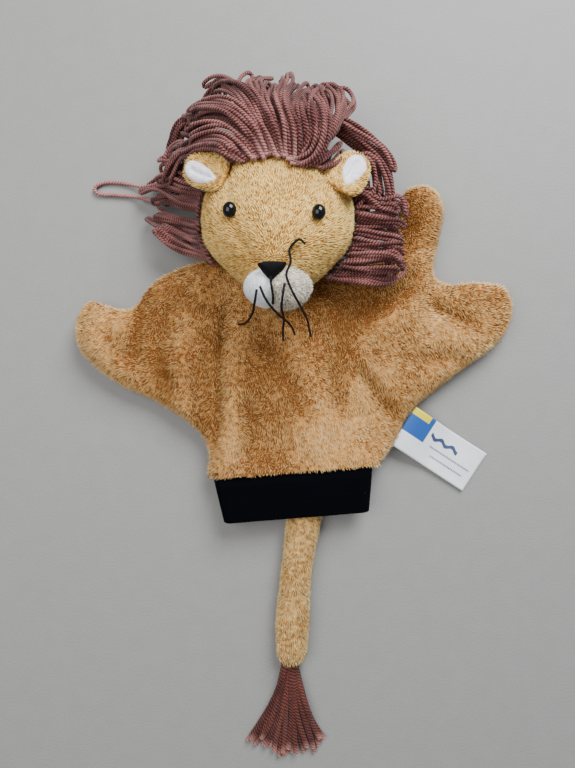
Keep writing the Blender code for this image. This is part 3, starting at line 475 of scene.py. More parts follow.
NOSE_FELT = PlainFinish("nose_black_felt", (0.0015, 0.0015, 0.002), (0.006, 0.006, 0.007), 0.9, 1500.0,
                        0.0003, 0.02, 0.1)
EYE_GLOSS = PlainFinish("eye_black_gloss", (0.0015, 0.0015, 0.0018), (0.004, 0.004, 0.005), 0.10, 300.0,
                        0.00001, 0.0, 0.35)
WASHER_PLASTIC = PlainFinish("washer_white_plastic", (0.62, 0.62, 0.60), (0.75, 0.75, 0.74), 0.45, 700.0,
                             0.00003)
WADDING = PlainFinish("white_wadding", (0.62, 0.62, 0.60), (0.90, 0.90, 0.88), 0.95, 420.0, 0.0012, 0.3, 0.1)
SLEEVE_CLOTH = PlainFinish("tan_lining_cloth", (0.36, 0.27, 0.17), (0.60, 0.49, 0.35), 0.9, 1800.0, 0.0002,
                           0.1, 0.2)
TABLE_FINISH = PlainFinish("pale_table", (0.235, 0.231, 0.223), (0.268, 0.264, 0.255), 0.62, 900.0, 0.0003)


# ---------------------------------------------------------------- meshes


def link(name: str, mesh: bpy.types.Mesh, finish: Finish | None = None) -> bpy.types.Object:
    """Puts a mesh in the scene as an object at the origin.

    Args:
        name: the object's name.
        mesh: its mesh.
        finish: its finish, unless the mesh has materials already.

    Returns:
        The object.
    """
    item = bpy.data.objects.new(name, mesh)
    bpy.context.scene.collection.objects.link(item)
    if finish:
        mesh.materials.clear()
        mesh.materials.append(finish.material())
    return item


def sew(piece: bpy.types.Object, body: str, slot: str, *nodes: str) -> None:
    """Fixes a piece to its body.

    Args:
        piece: the piece.
        body: the body that it moves with.
        slot: not used.
        nodes: the CAD model's nodes that it stands for.
    """
    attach(piece, body)
    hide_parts(*nodes)
    LOG.info("%s: %d faces", piece.name, len(piece.data.polygons))


def mesh_from(name: str, points: np.ndarray, faces: list, smooth: bool = True) -> bpy.types.Mesh:
    """A mesh from its points and faces.

    Args:
        name: the mesh's name.
        points: its points.
        faces: each face's point numbers.
        smooth: whether it is shaded smooth.

    Returns:
        The mesh.
    """
    mesh = bpy.data.meshes.new(name)
    mesh.from_pydata([tuple(p) for p in points], [], [tuple(f) for f in faces])
    mesh.validate()
    if smooth:
        mesh.shade_smooth()
    return mesh


def smooth_mesh(name: str, work: bmesh.types.BMesh) -> bpy.types.Mesh:
    """The worked mesh as a new smooth one; the worked one is freed.

    Args:
        name: the mesh's name.
        work: the worked mesh.

    Returns:
        The new mesh.
    """
    mesh = bpy.data.meshes.new(name)
    work.to_mesh(mesh)
    work.free()
    mesh.shade_smooth()
    return mesh


def evaluated(item: bpy.types.Object) -> bpy.types.Mesh:
    """A plain mesh of the object with its modifiers."""
    depsgraph = bpy.context.evaluated_depsgraph_get()
    return bpy.data.meshes.new_from_object(item.evaluated_get(depsgraph), preserve_all_data_layers=True,
                                           depsgraph=depsgraph)


def applied(item: bpy.types.Object) -> None:
    """Gives the object its evaluated mesh, and removes its modifiers.

    Args:
        item: the object.
    """
    mesh = evaluated(item)
    item.modifiers.clear()
    item.data = mesh


def joined(name: str, items: list[bpy.types.Object]) -> bpy.types.Object:
    """Several objects made one, which keeps their attributes.

    Args:
        name: the joined object's name.
        items: the objects; the first one stays.

    Returns:
        The object.
    """
    with bpy.context.temp_override(active_object=items[0], selected_editable_objects=items,
                                   selected_objects=items, object=items[0]):
        bpy.ops.object.join()
    items[0].name = name
    return items[0]


def keep_off_table(mesh: bpy.types.Mesh) -> None:
    """Presses whatever would reach into the table flat on it.

    Args:
        mesh: the mesh.
    """
    spots = np.empty(len(mesh.vertices) * 3, np.float32)
    mesh.vertices.foreach_get("co", spots)
    spots = spots.reshape(-1, 3)
    low = np.minimum(spots[:, 2], TABLE_CLEAR)
    pressed = TABLE_CLEAR + 0.04 * (low - TABLE_CLEAR) + 0.0002 * (low < TABLE_CLEAR)
    spots[:, 2] = np.maximum(spots[:, 2], pressed)
    mesh.vertices.foreach_set("co", spots.ravel())
    mesh.update()


def smooth_curve(points: list, steps: int, closed: bool = False, corners: tuple = ()) -> np.ndarray:
    """A curve through the points, with the given steps between two of them.

    Args:
        points: the points, of two or three numbers each.
        steps: steps for each span.
        closed: whether the curve comes back to its start.
        corners: the indices of points where a closed curve has a sharp corner.

    Returns:
        The curve's points.
    """
    spots, count = np.array(points, float), len(points)
    out = []
    for i in range(count if closed else count - 1):
        start, end = spots[i], spots[(i + 1) % count]
        before = spots[i - 1] if closed or i else 2 * start - end
        after = spots[(i + 2) % count] if closed or i + 2 < count else 2 * end - start
        if i in corners:
            before = 2 * start - end
        if (i + 1) % count in corners:
            after = 2 * end - start
        straight = i in corners and (i + 1) % count in corners
        for step in range(1 if straight else steps):
            t = step / steps
            out.append(0.5 * (2 * start + (end - before) * t
                              + (2 * before - 5 * start + 4 * end - after) * t**2
                              + (3 * start - before - 3 * end + after) * t**3))
    if not closed:
        out.append(spots[-1])
    return np.array(out)


def drawn(points: tuple, steps: int = 8, closed: bool = False) -> np.ndarray:
    """A smooth curve through points given in mm."""
    return smooth_curve(np.array(points, float) * MM, steps, closed)


def anticlockwise(line: np.ndarray) -> np.ndarray:
    """A closed line, turned round if it runs clockwise."""
    turn = np.sum(line[:, 0] * np.roll(line[:, 1], -1) - line[:, 1] * np.roll(line[:, 0], -1))
    return line if turn > 0 else line[::-1]


def segments_of(line: np.ndarray, closed: bool) -> tuple[np.ndarray, np.ndarray]:
    """The starts and ends of a line's segments."""
    return (line, np.roll(line, -1, axis=0)) if closed else (line[:-1], line[1:])


def nearest_on(spots: np.ndarray, line: np.ndarray, closed: bool = False) -> tuple:
    """How each spot lies to a line on the plan.

    Args:
        spots: (n, 2) places.
        line: the line's points.
        closed: whether it is a loop.

    Returns:
        The distance, positive on the line's left, and the share of the way along the line.
    """
    start, end = segments_of(line, closed)
    way = end - start
    long = np.maximum((way**2).sum(1), 1e-18)
    gap = spots[:, None, :] - start[None]
    t = np.clip((gap * way[None]).sum(2) / long, 0, 1)
    off = gap - t[..., None] * way[None]
    far = np.sqrt((off**2).sum(2))
    best = far.argmin(1)
    pick = np.arange(len(spots)), best
    side = np.sign(way[best, 0] * gap[pick][:, 1] - way[best, 1] * gap[pick][:, 0])
    sizes = np.sqrt(long)
    before = np.concatenate([[0], np.cumsum(sizes)])
    along = (before[best] + t[pick] * sizes[best]) / before[-1]
    return far[pick] * np.where(side == 0, 1, side), along


def inset_of(spots: np.ndarray, outline: np.ndarray) -> np.ndarray:
    """How far each spot lies from a closed outline."""
    return np.abs(nearest_on(spots, outline, True)[0])


def inward_from(outline: np.ndarray) -> np.ndarray:
    """The direction into a closed outline at each of its points.

    Args:
        outline: the outline's points, anticlockwise.

    Returns:
        (n, 2) unit directions.
    """
    start, end = segments_of(outline, True)
    way = (end - start) / np.linalg.norm(end - start, axis=1, keepdims=True)
    inward = np.stack([-way[:, 1], way[:, 0]], axis=1)
    inward = inward + np.roll(inward, 1, axis=0)
    return inward / np.linalg.norm(inward, axis=1, keepdims=True)


def inside(spots: np.ndarray, outline: np.ndarray) -> np.ndarray:
    """Whether each spot lies inside a closed outline.

    Args:
        spots: (n, 2) places.
        outline: the outline's points.

    Returns:
        True for each spot inside.
    """
    start, end = segments_of(outline, True)
    x, y = spots[:, :1], spots[:, 1:]
    crosses = (start[:, 1] > y) != (end[:, 1] > y)
    rise = np.where(np.abs(end[:, 1] - start[:, 1]) < 1e-12, 1e-12, end[:, 1] - start[:, 1])
    at = start[:, 0] + (y - start[:, 1]) * (end[:, 0] - start[:, 0]) / rise
    return (crosses & (x < at)).sum(1) % 2 == 1


def ripple(spots: np.ndarray, scale: float, seed: float) -> np.ndarray:
    """Smooth noise from -1 to 1 at (n, 2) or (n, 3) places."""
    shift = Vector((seed, seed * 0.7, seed * 1.3))
    return np.array([noise.noise(Vector((*p, 0.0)[:3]) * scale + shift) for p in spots.tolist()])


def solid_wall(item: bpy.types.Object, thickness: float) -> None:
    """Gives an open sheet a wall on its inner side and applies it.

    Args:
        item: the sheet's object.
        thickness: the wall's thickness.
    """
    wall = item.modifiers.new("wall", "SOLIDIFY")
    wall.thickness = thickness
    wall.offset = -1.0
    wall.use_rim = True
    applied(item)


# ---------------------------------------------------------------- pile and yarn


class Growth:
    """Geometry Nodes run on one object; the fields of a subclass are the tree's inputs."""

    TREE = ""

    def grow(self, graph: Graph, given: dict[str, Signal]) -> Signal:
        """The nodes between the tree's inputs and its output."""
        raise NotImplementedError

    def _tree(self, values: dict[str, "float | bpy.types.Material"]) -> bpy.types.NodeTree:
        """The node tree, built once.

        Args:
            values: each input's name with a value of its kind.

        Returns:
            The Geometry Nodes tree.
        """
        found = bpy.data.node_groups.get(self.TREE)
        if found:
            return found
        tree = bpy.data.node_groups.new(self.TREE, "GeometryNodeTree")
        kinds = {name: {float: "Float", int: "Int"}.get(type(value), "Material")
                 for name, value in values.items()}
        for name, kind in {"Base": "Geometry", **kinds}.items():
            tree.interface.new_socket(name, in_out="INPUT", socket_type="NodeSocket" + kind)
        tree.interface.new_socket("Result", in_out="OUTPUT", socket_type="NodeSocketGeometry")
        graph = Graph(tree)
        entry = tree.nodes.new("NodeGroupInput")
        grown = self.grow(graph, {s.name: Signal(graph, s) for s in entry.outputs if s.name})
        tree.links.new(grown.socket, tree.nodes.new("NodeGroupOutput").inputs[0])
        return tree

    def run(self, item: bpy.types.Object, finish: Finish) -> bpy.types.Mesh:
        """Runs the tree on an object.

        Args:
            item: the cloth or the curves.
            finish: the finish of what grows.

        Returns:
            What has grown, as a plain mesh.
        """
        values = {f.name.replace("_", " ").title(): getattr(self, f.name) for f in fields(self)}
        values["Material"] = finish.material()
        modifier = item.modifiers.new(self.TREE, "NODES")
        modifier.node_group = self._tree(values)
        for socket in modifier.node_group.interface.items_tree:
            if socket.in_out == "INPUT" and socket.name in values:
                modifier[socket.identifier] = values[socket.name]
        return evaluated(item)


@dataclass
class Pile(Growth):
    """Short pile as tapered tufts, spread over a sheet and combed along its "comb" attribute."""

    spacing: float = 0.00066
    width: float = 0.00036
    length: float = 0.0025
    lean: float = 1.35
    scatter: float = 0.16
    clump: float = 0.42
    clump_scale: float = 190.0
    droop: float = -0.22
    seed: int = 3

    TREE = "plush pile"

    def grow(self, graph: Graph, given: dict[str, Signal]) -> Signal:
        """Tufts on scattered points, turned along the comb, with their own sizes and shades.

        Args:
            graph: the tree's nodes.
            given: the tree's inputs by name.

        Returns:
            The tufts.
        """
        density = 1.6 / (given["Spacing"] * given["Spacing"])
        spread = graph.node("GeometryNodeDistributePointsOnFaces", {"distribute_method": "POISSON"},
                            {"Mesh": given["Base"], "Distance Min": given["Spacing"],
                             "Density Max": density, "Seed": given["Seed"]}, "Points")
        normal = Signal(graph, graph.pick(spread.socket.node.outputs, "Normal"))
        comb = graph.node("GeometryNodeInputNamedAttribute", {"data_type": "FLOAT_VECTOR"}, {"Name": "comb"},
                          "Attribute")
        trim = graph.node("GeometryNodeInputNamedAttribute", {"data_type": "FLOAT"}, {"Name": "trim"},
                          "Attribute")
        place = graph.node("GeometryNodeInputPosition")
        swirl = graph.node("ShaderNodeTexNoise", {"noise_dimensions": "3D"},
                           {"Vector": place, "Scale": given["Clump Scale"], "Detail": 1.0}, "Color")
        swirl = graph.vector("SUBTRACT", swirl, (0.5, 0.5, 0.5))
        loose = graph.random(Min=(-1.0, -1.0, -1.0), Max=(1.0, 1.0, 1.0), Seed=given["Seed"])
        way = graph.vector("ADD", normal, graph.vector("SCALE", comb, given["Lean"]))
        way = graph.vector("ADD", way, graph.vector("SCALE", swirl, given["Clump"] * 3.0))
        way = graph.vector("ADD", way, graph.vector("SCALE", loose, given["Scatter"]))
        turn = graph.node("FunctionNodeAlignRotationToVector", {"axis": "Z", "pivot_axis": "AUTO"},
                          {"Vector": way})
        turn = graph.node("FunctionNodeAlignRotationToVector", {"axis": "X", "pivot_axis": "Z"},
                          {"Rotation": turn, "Vector": normal})
        sizes = graph.random(Min=0.70, Max=1.25, Seed=given["Seed"] + 7.0)
        broad, long = given["Width"] * sizes, given["Length"] * sizes * (1.0 - trim)
        scale = graph.node("ShaderNodeCombineXYZ", None, {0: broad * 0.8, 1: broad, 2: long})
        tufts = graph.node("GeometryNodeInstanceOnPoints", None,
                           {"Points": spread, "Instance": self._tuft(graph, given["Droop"]), "Rotation": turn,
                            "Scale": scale})
        tufts = graph.store(tufts, "strand", graph.random(Seed=given["Seed"] + 11.0), "INSTANCE")
        return graph.real(tufts, given["Material"])

    @staticmethod
    def _tuft(graph: Graph, droop: Signal) -> Signal:
        """One tuft: a three-sided spike of height 1, bent over.

        Args:
            graph: the tree's nodes.
            droop: how far the tip bends over.

        Returns:
            The tuft.
        """
        cone = graph.node("GeometryNodeMeshCone", {"fill_type": "NGON"},
                          {"Vertices": 3, "Side Segments": 1, "Fill Segments": 1, "Radius Top": 0.0,
                           "Radius Bottom": 1.0, "Depth": 1.0}, "Mesh")
        place = graph.node("GeometryNodeInputPosition")
        high = graph.axis(place, "Z")
        bent = graph.node("ShaderNodeCombineXYZ", None, {0: high * high * droop * 4.0, 1: 0.0, 2: 0.0})
        shaped = graph.node("GeometryNodeSetPosition", None,
                            {"Geometry": cone, "Position": graph.vector("ADD", place, bent)})
        return graph.store(shaped, "tip", high)

    def cover(self, name: str, cloth: bpy.types.Mesh, finish: Finish, wall: float = 0.0) -> bpy.types.Object:
        """Grows the pile on a cloth and joins both.

        Args:
            name: the piece's name.
            cloth: the sheet, with a "comb" attribute; its normals point to the pile.
            finish: the finish of both.
            wall: the cloth's thickness, for an open sheet.

        Returns:
            The piece.
        """
        host = link(name + "_pile", cloth.copy())
        pile = self.run(host, finish)
        host.modifiers.clear()
        host.data = pile
        base = link(name, cloth, finish)
        if wall:
            solid_wall(base, wall)
        piece = joined(name, [base, host])
        keep_off_table(piece.data)
        return piece


def set_comb(mesh: bpy.types.Mesh, comb: np.ndarray, trim: "np.ndarray | float" = 0.0) -> None:
    """Stores the way that the pile is combed, and how much of its length is clipped, on a mesh's points.

    Args:
        mesh: the cloth.
        comb: (n, 3) directions; a longer one leans the pile more.
        trim: the share clipped, for all points or for each.
    """
    ways = np.ascontiguousarray(comb, np.float32)
    clipped = np.full(len(comb), trim, np.float32)
    mesh.attributes.new("comb", "FLOAT_VECTOR", "POINT").data.foreach_set("vector", ways.ravel())
    mesh.attributes.new("trim", "FLOAT", "POINT").data.foreach_set("value", clipped)


def points_of(mesh: bpy.types.Mesh) -> np.ndarray:
    """A mesh's points as an (n, 3) array.

    Args:
        mesh: the mesh.

    Returns:
        Its points.
    """
    spots = np.empty(len(mesh.vertices) * 3, np.float32)
    mesh.vertices.foreach_get("co", spots)
    return spots.reshape(-1, 3).astype(float)


@dataclass
class Yarn(Growth):
    """Yarn laid along curves, with the attributes that its finish winds the plies by."""

    diameter: float = 0.0023
    sides: int = 8
    step: float = 0.0013

    TREE = "plied yarn"

    def grow(self, graph: Graph, given: dict[str, Signal]) -> Signal:
        """A ring swept along each curve, uneven in its thickness.

        Args:
            graph: the tree's nodes.
            given: the tree's inputs by name.

        Returns:
            The yarn.
        """
        route = graph.node("GeometryNodeResampleCurve", {"mode": "LENGTH"},
                           {"Curve": given["Base"], "Length": given["Step"]})
        along = graph.node("GeometryNodeSplineParameter", output="Length")
        share = graph.node("GeometryNodeSplineParameter", output="Factor")
        spline = graph.node("GeometryNodeInputIndex")
        route = graph.store(route, "strand", graph.random(ID=spline, Seed=5), "CURVE")
        for name, value in (("end", ((share - 0.90) * 10.0).clamped()), ("run", along)):
            route = graph.store(route, name, value)
        uneven = graph.node("ShaderNodeTexNoise", {"noise_dimensions": "1D"},
                            {"W": along + spline, "Scale": 300.0}, "Fac")
        ring = graph.node("GeometryNodeCurvePrimitiveCircle", {"mode": "RADIUS"},
                          {"Resolution": given["Sides"], "Radius": given["Diameter"] * 0.5}, "Curve")
        place = graph.node("GeometryNodeInputPosition")
        for name in ("X", "Y"):
            ring = graph.store(ring, "side_" + name.lower(), graph.axis(place, name) / given["Diameter"])
        values = {"Curve": route, "Profile Curve": ring, "Fill Caps": True, "Scale": 0.90 + uneven * 0.20}
        return graph.real(graph.node("GeometryNodeCurveToMesh", None, values), given["Material"])

    def lay(self, name: str, routes: list[np.ndarray], finish: Finish) -> bpy.types.Object:
        """Makes one piece of all the strands.

        Args:
            name: the piece's name.
            routes: each strand's points, close together.
            finish: the yarn's finish.

        Returns:
            The piece.
        """
        curve = bpy.data.curves.new(name + "_route", "CURVE")
        curve.dimensions = "3D"
        for route in routes:
            spline = curve.splines.new("POLY")
            spline.points.add(len(route) - 1)
            flat = np.concatenate([route, np.ones((len(route), 1))], axis=1)
            spline.points.foreach_set("co", flat.ravel())
        host = bpy.data.objects.new(name + "_route", curve)
        bpy.context.scene.collection.objects.link(host)
        mesh = self.run(host, finish)
        bpy.data.objects.remove(host, do_unlink=True)
        piece = link(name, mesh)
        keep_off_table(mesh)
        LOG.info("%s: %d strands", name, len(routes))
        return piece


# ---------------------------------------------------------------- plans and cushions


def welded(mesh: bpy.types.Mesh, gap: float = 1e-5) -> bpy.types.Mesh:
    """Joins the points that coincide, and turns every face outwards.

    Args:
        mesh: the mesh.
        gap: points nearer than this coincide.

    Returns:
        The same mesh.
    """
    work = bmesh.new()
    work.from_mesh(mesh)
    bmesh.ops.remove_doubles(work, verts=work.verts, dist=gap)
    bmesh.ops.recalc_face_normals(work, faces=work.faces)
    work.to_mesh(mesh)
    work.free()
    mesh.shade_smooth()
    return mesh


@dataclass
class Plan:
    """A flat shape cut into small triangles, with finer rows along its edge.

    Args:
        outline: the shape's edge, counterclockwise.
        spacing: the size of the triangles.
        rows: how far inside the edge the finer rows lie.
        cuts: lines that the triangles must keep to.
    """

    outline: np.ndarray
    spacing: float
    rows: tuple[float, ...]
    cuts: tuple[np.ndarray, ...] = ()
    spots: np.ndarray = field(init=False)
    triangles: np.ndarray = field(init=False)

    def __post_init__(self) -> None:
        """Spreads the points and joins them up."""
        inward = inward_from(self.outline)
        groups = [self._kept(self.outline + inward * row, row * 0.82) for row in self.rows]
        groups.append(self._kept(self._grid(), self.rows[-1] + self.spacing * 0.55))
        points = np.concatenate([self.outline, *groups])
        for cut in self.cuts:
            far = np.abs(nearest_on(points, cut)[0])
            keep = (far > self.spacing * 0.45) | (np.arange(len(points)) < len(self.outline))
            points = points[keep]
        count = len(self.outline)
        edges = [(i, (i + 1) % count) for i in range(count)]
        for cut in self.cuts:
            edges += [(len(points) + i, len(points) + i + 1) for i in range(len(cut) - 1)]
            points = np.concatenate([points, cut])
        result = delaunay_2d_cdt([Vector(p) for p in points], edges, [], 0, 1e-9, False)
        self.spots = np.array([tuple(v) for v in result[0]])
        faces = np.array(result[2])
        middles = self.spots[faces].mean(axis=1)
        self.triangles = faces[inside(middles, self.outline)]

    def _grid(self) -> np.ndarray:
        """Points in even rows over the whole shape.

        Returns:
            The points.
        """
        low, high = self.outline.min(axis=0), self.outline.max(axis=0)
        step = np.array([self.spacing, self.spacing * math.sqrt(3) / 2])
        columns, lines = np.ceil((high - low) / step).astype(int) + 1
        grid = np.array([((i + 0.5 * (j % 2)) * step[0], j * step[1])
                         for j in range(lines) for i in range(columns)])
        return grid + low

    def _kept(self, points: np.ndarray, least: float) -> np.ndarray:
        """Those of the points that lie inside, at least so far from the edge."""
        points = points[inside(points, self.outline)]
        return points[inset_of(points, self.outline) > least]

    def sheet(self, name: str, heights: np.ndarray, chosen: np.ndarray | None = None,
              upward: bool = True) -> bpy.types.Mesh:
        """One surface over the shape or over some of its triangles.

        Args:
            name: the mesh's name.
            heights: the height of each point.
            chosen: which triangles are used.
            upward: whether the surface looks up.

        Returns:
            The mesh, without unused points.
        """
        faces = self.triangles if chosen is None else self.triangles[chosen]
        used, faces = np.unique(faces, return_inverse=True)
        faces = faces.reshape(-1, 3)
        spots = np.column_stack([self.spots[used], heights[used]])
        a, b, c = (spots[faces[:, i], :2] for i in range(3))
        turn = (b - a)[:, 0] * (c - a)[:, 1] - (b - a)[:, 1] * (c - a)[:, 0]
        flip = (turn > 0) != upward
        faces[flip] = faces[flip][:, ::-1]
        return mesh_from(name, spots, faces.tolist())

    def cushion(self, name: str, upper: np.ndarray, lower: np.ndarray,
                chosen: np.ndarray | None = None) -> bpy.types.Mesh:
        """Two surfaces that meet along the edge.

        Args:
            name: the mesh's name.
            upper: the height of each point of the upper surface.
            lower: the same for the lower one.
            chosen: which triangles are used.

        Returns:
            The mesh, welded at the edge.
        """
        top = self.sheet(name, upper, chosen)
        bottom = self.sheet(name + "_low", lower, chosen, upward=False)
        work = bmesh.new()
        work.from_mesh(top)
        work.from_mesh(bottom)
        work.to_mesh(top)
        work.free()
        return welded(top)


def rounding(inset: np.ndarray, reach: float) -> np.ndarray:
    """A quarter ellipse: 0 at the edge, 1 from reach inwards."""
    share = 1 - np.clip(inset / reach, 0, 1)
    return np.sqrt(np.maximum(1 - share**2, 0))


def smoothstep(value: np.ndarray, low: float, high: float) -> np.ndarray:
    """0 before low, 1 after high, smooth between."""
    share = np.clip((value - low) / (high - low), 0, 1)
    return share * share * (3 - 2 * share)


# ---------------------------------------------------------------- glove


@dataclass(frozen=True)
class Crease:
    """A line in the cloth, in mm: a valley with an overlapping ridge on its left."""

    points: tuple[Spot, ...]
    depth: float
    width: float
    ridge: float = 0.0
    ridge_width: float = 6.0

    def lift(self, spots: np.ndarray) -> np.ndarray:
        """The height in metres that the crease adds at each spot.

        Args:
            spots: (n, 2) places.

        Returns:
            The heights.
        """
        far, along = nearest_on(spots, drawn(self.points))
        far = far / MM
        fade = smoothstep(np.minimum(along, 1 - along), -0.02, 0.30)
        valley = np.exp(-(far / self.width) ** 2) * self.depth
        ridge = np.exp(-((far - 1.2 * self.width - 0.5 * self.ridge_width) / self.ridge_width) ** 2)
        return fade * (ridge * self.ridge - valley) * MM


class Limb(Enum):
    """The parts of the glove that are cut apart from its body."""

    ARM_LEFT = "arm_left"
    ARM_RIGHT = "arm_right"
    PAW_UPPER_RIGHT = "paw_upper_right"


@dataclass(frozen=True)
class GloveSizes:
    """The glove's cut and its creases."""

    half_span: float = 0.1235
    wrist_y: float = -0.045
    height: float = 0.116
    hem: tuple[Spot, Spot] = ((0.04735, -0.0412), (-0.04735, -0.0488))
    neck: tuple[Spot, Spot] = ((0.0109, 0.071), (-0.0275, 0.071))
    right: tuple[Spot, ...] = (
        (0.470, 0.155), (0.545, 0.300), (0.745, 0.474), (0.931, 0.621), (1.0, 0.759), (0.972, 0.888),
        (0.842, 0.920), (0.712, 0.910), (0.644, 0.957), (0.664, 1.129), (0.688, 1.276), (0.648, 1.366),
        (0.575, 1.391), (0.502, 1.345), (0.482, 1.172), (0.405, 1.026))
    left: tuple[Spot, ...] = (
        (-0.372, 1.030), (-0.560, 0.970), (-0.664, 0.896), (-0.729, 0.797), (-0.834, 0.802), (-0.931, 0.828),
        (-0.992, 0.716), (-0.964, 0.578), (-0.810, 0.435), (-0.632, 0.345), (-0.470, 0.233), (-0.389, 0.112))
    inset: float = 0.0012  # the cloth lies this far inside the pile's outline
    seam_z: float = 0.0085
    front: float = 0.0076
    back: float = 0.0070
    edge: float = 0.0095
    wall: float = 0.0009
    roots: tuple[tuple[Limb, Spot, Spot], ...] = (
        (Limb.ARM_LEFT, (-0.08583, 0.0594), (-0.0605, -0.0212)),
        (Limb.ARM_RIGHT, (0.0679, -0.0172), (0.0795, 0.0657)),
        (Limb.PAW_UPPER_RIGHT, (0.0795, 0.0657), (0.0475, 0.0727)))
    bend: float = 0.014  # a limb bends over this length
    creases: tuple[Crease, ...] = (
        Crease(((-35.5, 62), (-37.7, 50.7), (-40.4, 20.2), (-41.0, -9.6), (-43.5, -44)), 5.0, 3.2, 0.8, 6.0),
        Crease(((-44, 40), (-49, 14), (-49, -14), (-47, -36)), 3.0, 6.0, 0.0),
        Crease(((-47.0, -36), (-51.5, -20), (-56.0, -2), (-56, 20)), 1.6, 3.0, 0.7, 4.0),
        Crease(((-79.2, 66), (-84.8, 39.6), (-87.1, 10)), 4.0, 4.6, 0.6, 6.0),
        Crease(((-66, 60), (-72, 40), (-72, 14), (-64, -8)), 2.6, 5.4, 0.6, 6.0),
        Crease(((106, 36.0), (88, 43.0), (66.8, 53.2)), 3.4, 4.4, 0.8, 6.0),
        Crease(((62.0, -20.7), (50.2, -5.5), (39.0, 9.8), (33, 22)), 4.0, 4.8, 0.8, 6.0),
        Crease(((104, 14), (86, 20), (62, 18)), 2.4, 4.8, 0.8, 6.0),
        Crease(((68, 68), (58, 54), (40, 42), (20, 38)), 2.8, 5.4, 0.8, 7.0),
        Crease(((-18, 44), (-12, 20), (0, 2), (6, -20)), 2.4, 6.5, 0.6, 8.0),
        Crease(((26, 46), (28, 24), (24, 2), (30, -24)), 2.0, 5.6, 0.6, 8.0),
        Crease(((-28, -42), (-23, -24), (-26, 2)), 2.6, 4.8, 0.6, 5.0),
        Crease(((-108, 40), (-98, 26), (-80, 14)), 1.3, 5.0, 0.4, 6.0),
        Crease(((-62, 56), (-52, 46), (-44, 48)), 1.4, 4.0, 0.6, 6.0),
        Crease(((70, 112), (66, 92), (60, 76)), 1.3, 4.0, 0.5, 6.0))
    brushed: tuple[tuple[float, float, float, float], ...] = (  # painted light and shade: place and reach in mm, how much paler, darker where negative
        (30, -26, 28, 0.75), (92, 30, 24, 0.6), (16, 50, 26, -0.6), (-62, 12, 16, -0.5), (-10, 4, 22, -0.35),
        (-50, -20, 10, -0.4), (72, 92, 18, -0.45), (-106, 38, 16, 0.4), (-34, -34, 10, 0.4),
        (-72, 62, 12, 0.4))
    combed: float = 0.55  # how far the pile leans
    highest: float = 0.0168
    lowest: float = 0.0012

    def edge_line(self, drop: float = 0.0) -> np.ndarray:
        """The cloth's outline, counterclockwise.

        Args:
            drop: moves the hem down by this, so that no edge is rounded there.

        Returns:
            Its points.
        """
        def place(share: Spot) -> Spot:
            """A share of the span and the height as a place."""
            return share[0] * self.half_span, self.wrist_y + share[1] * self.height

        hem = [(x, y - drop) for x, y in self.hem]
        points = [hem[0], *map(place, self.right), *self.neck, *map(place, self.left), hem[1]]
        neck = len(self.right) + 1
        line = smooth_curve(points, 14, True, (0, neck, neck + 1, len(points) - 1))
        start, end = segments_of(line, True)
        long = np.linalg.norm(end - start, axis=1)
        fill = [start[i] + (end[i] - start[i]) * j / max(1, round(long[i] / 0.0016))
                for i in range(len(line)) for j in range(max(1, round(long[i] / 0.0016)))]
        line = np.array(fill)
        open_hem = line[:, 1] < self.wrist_y + 0.004 - drop
        return line + inward_from(line) * self.inset * np.where(open_hem, 0.3, 1.0)[:, None]


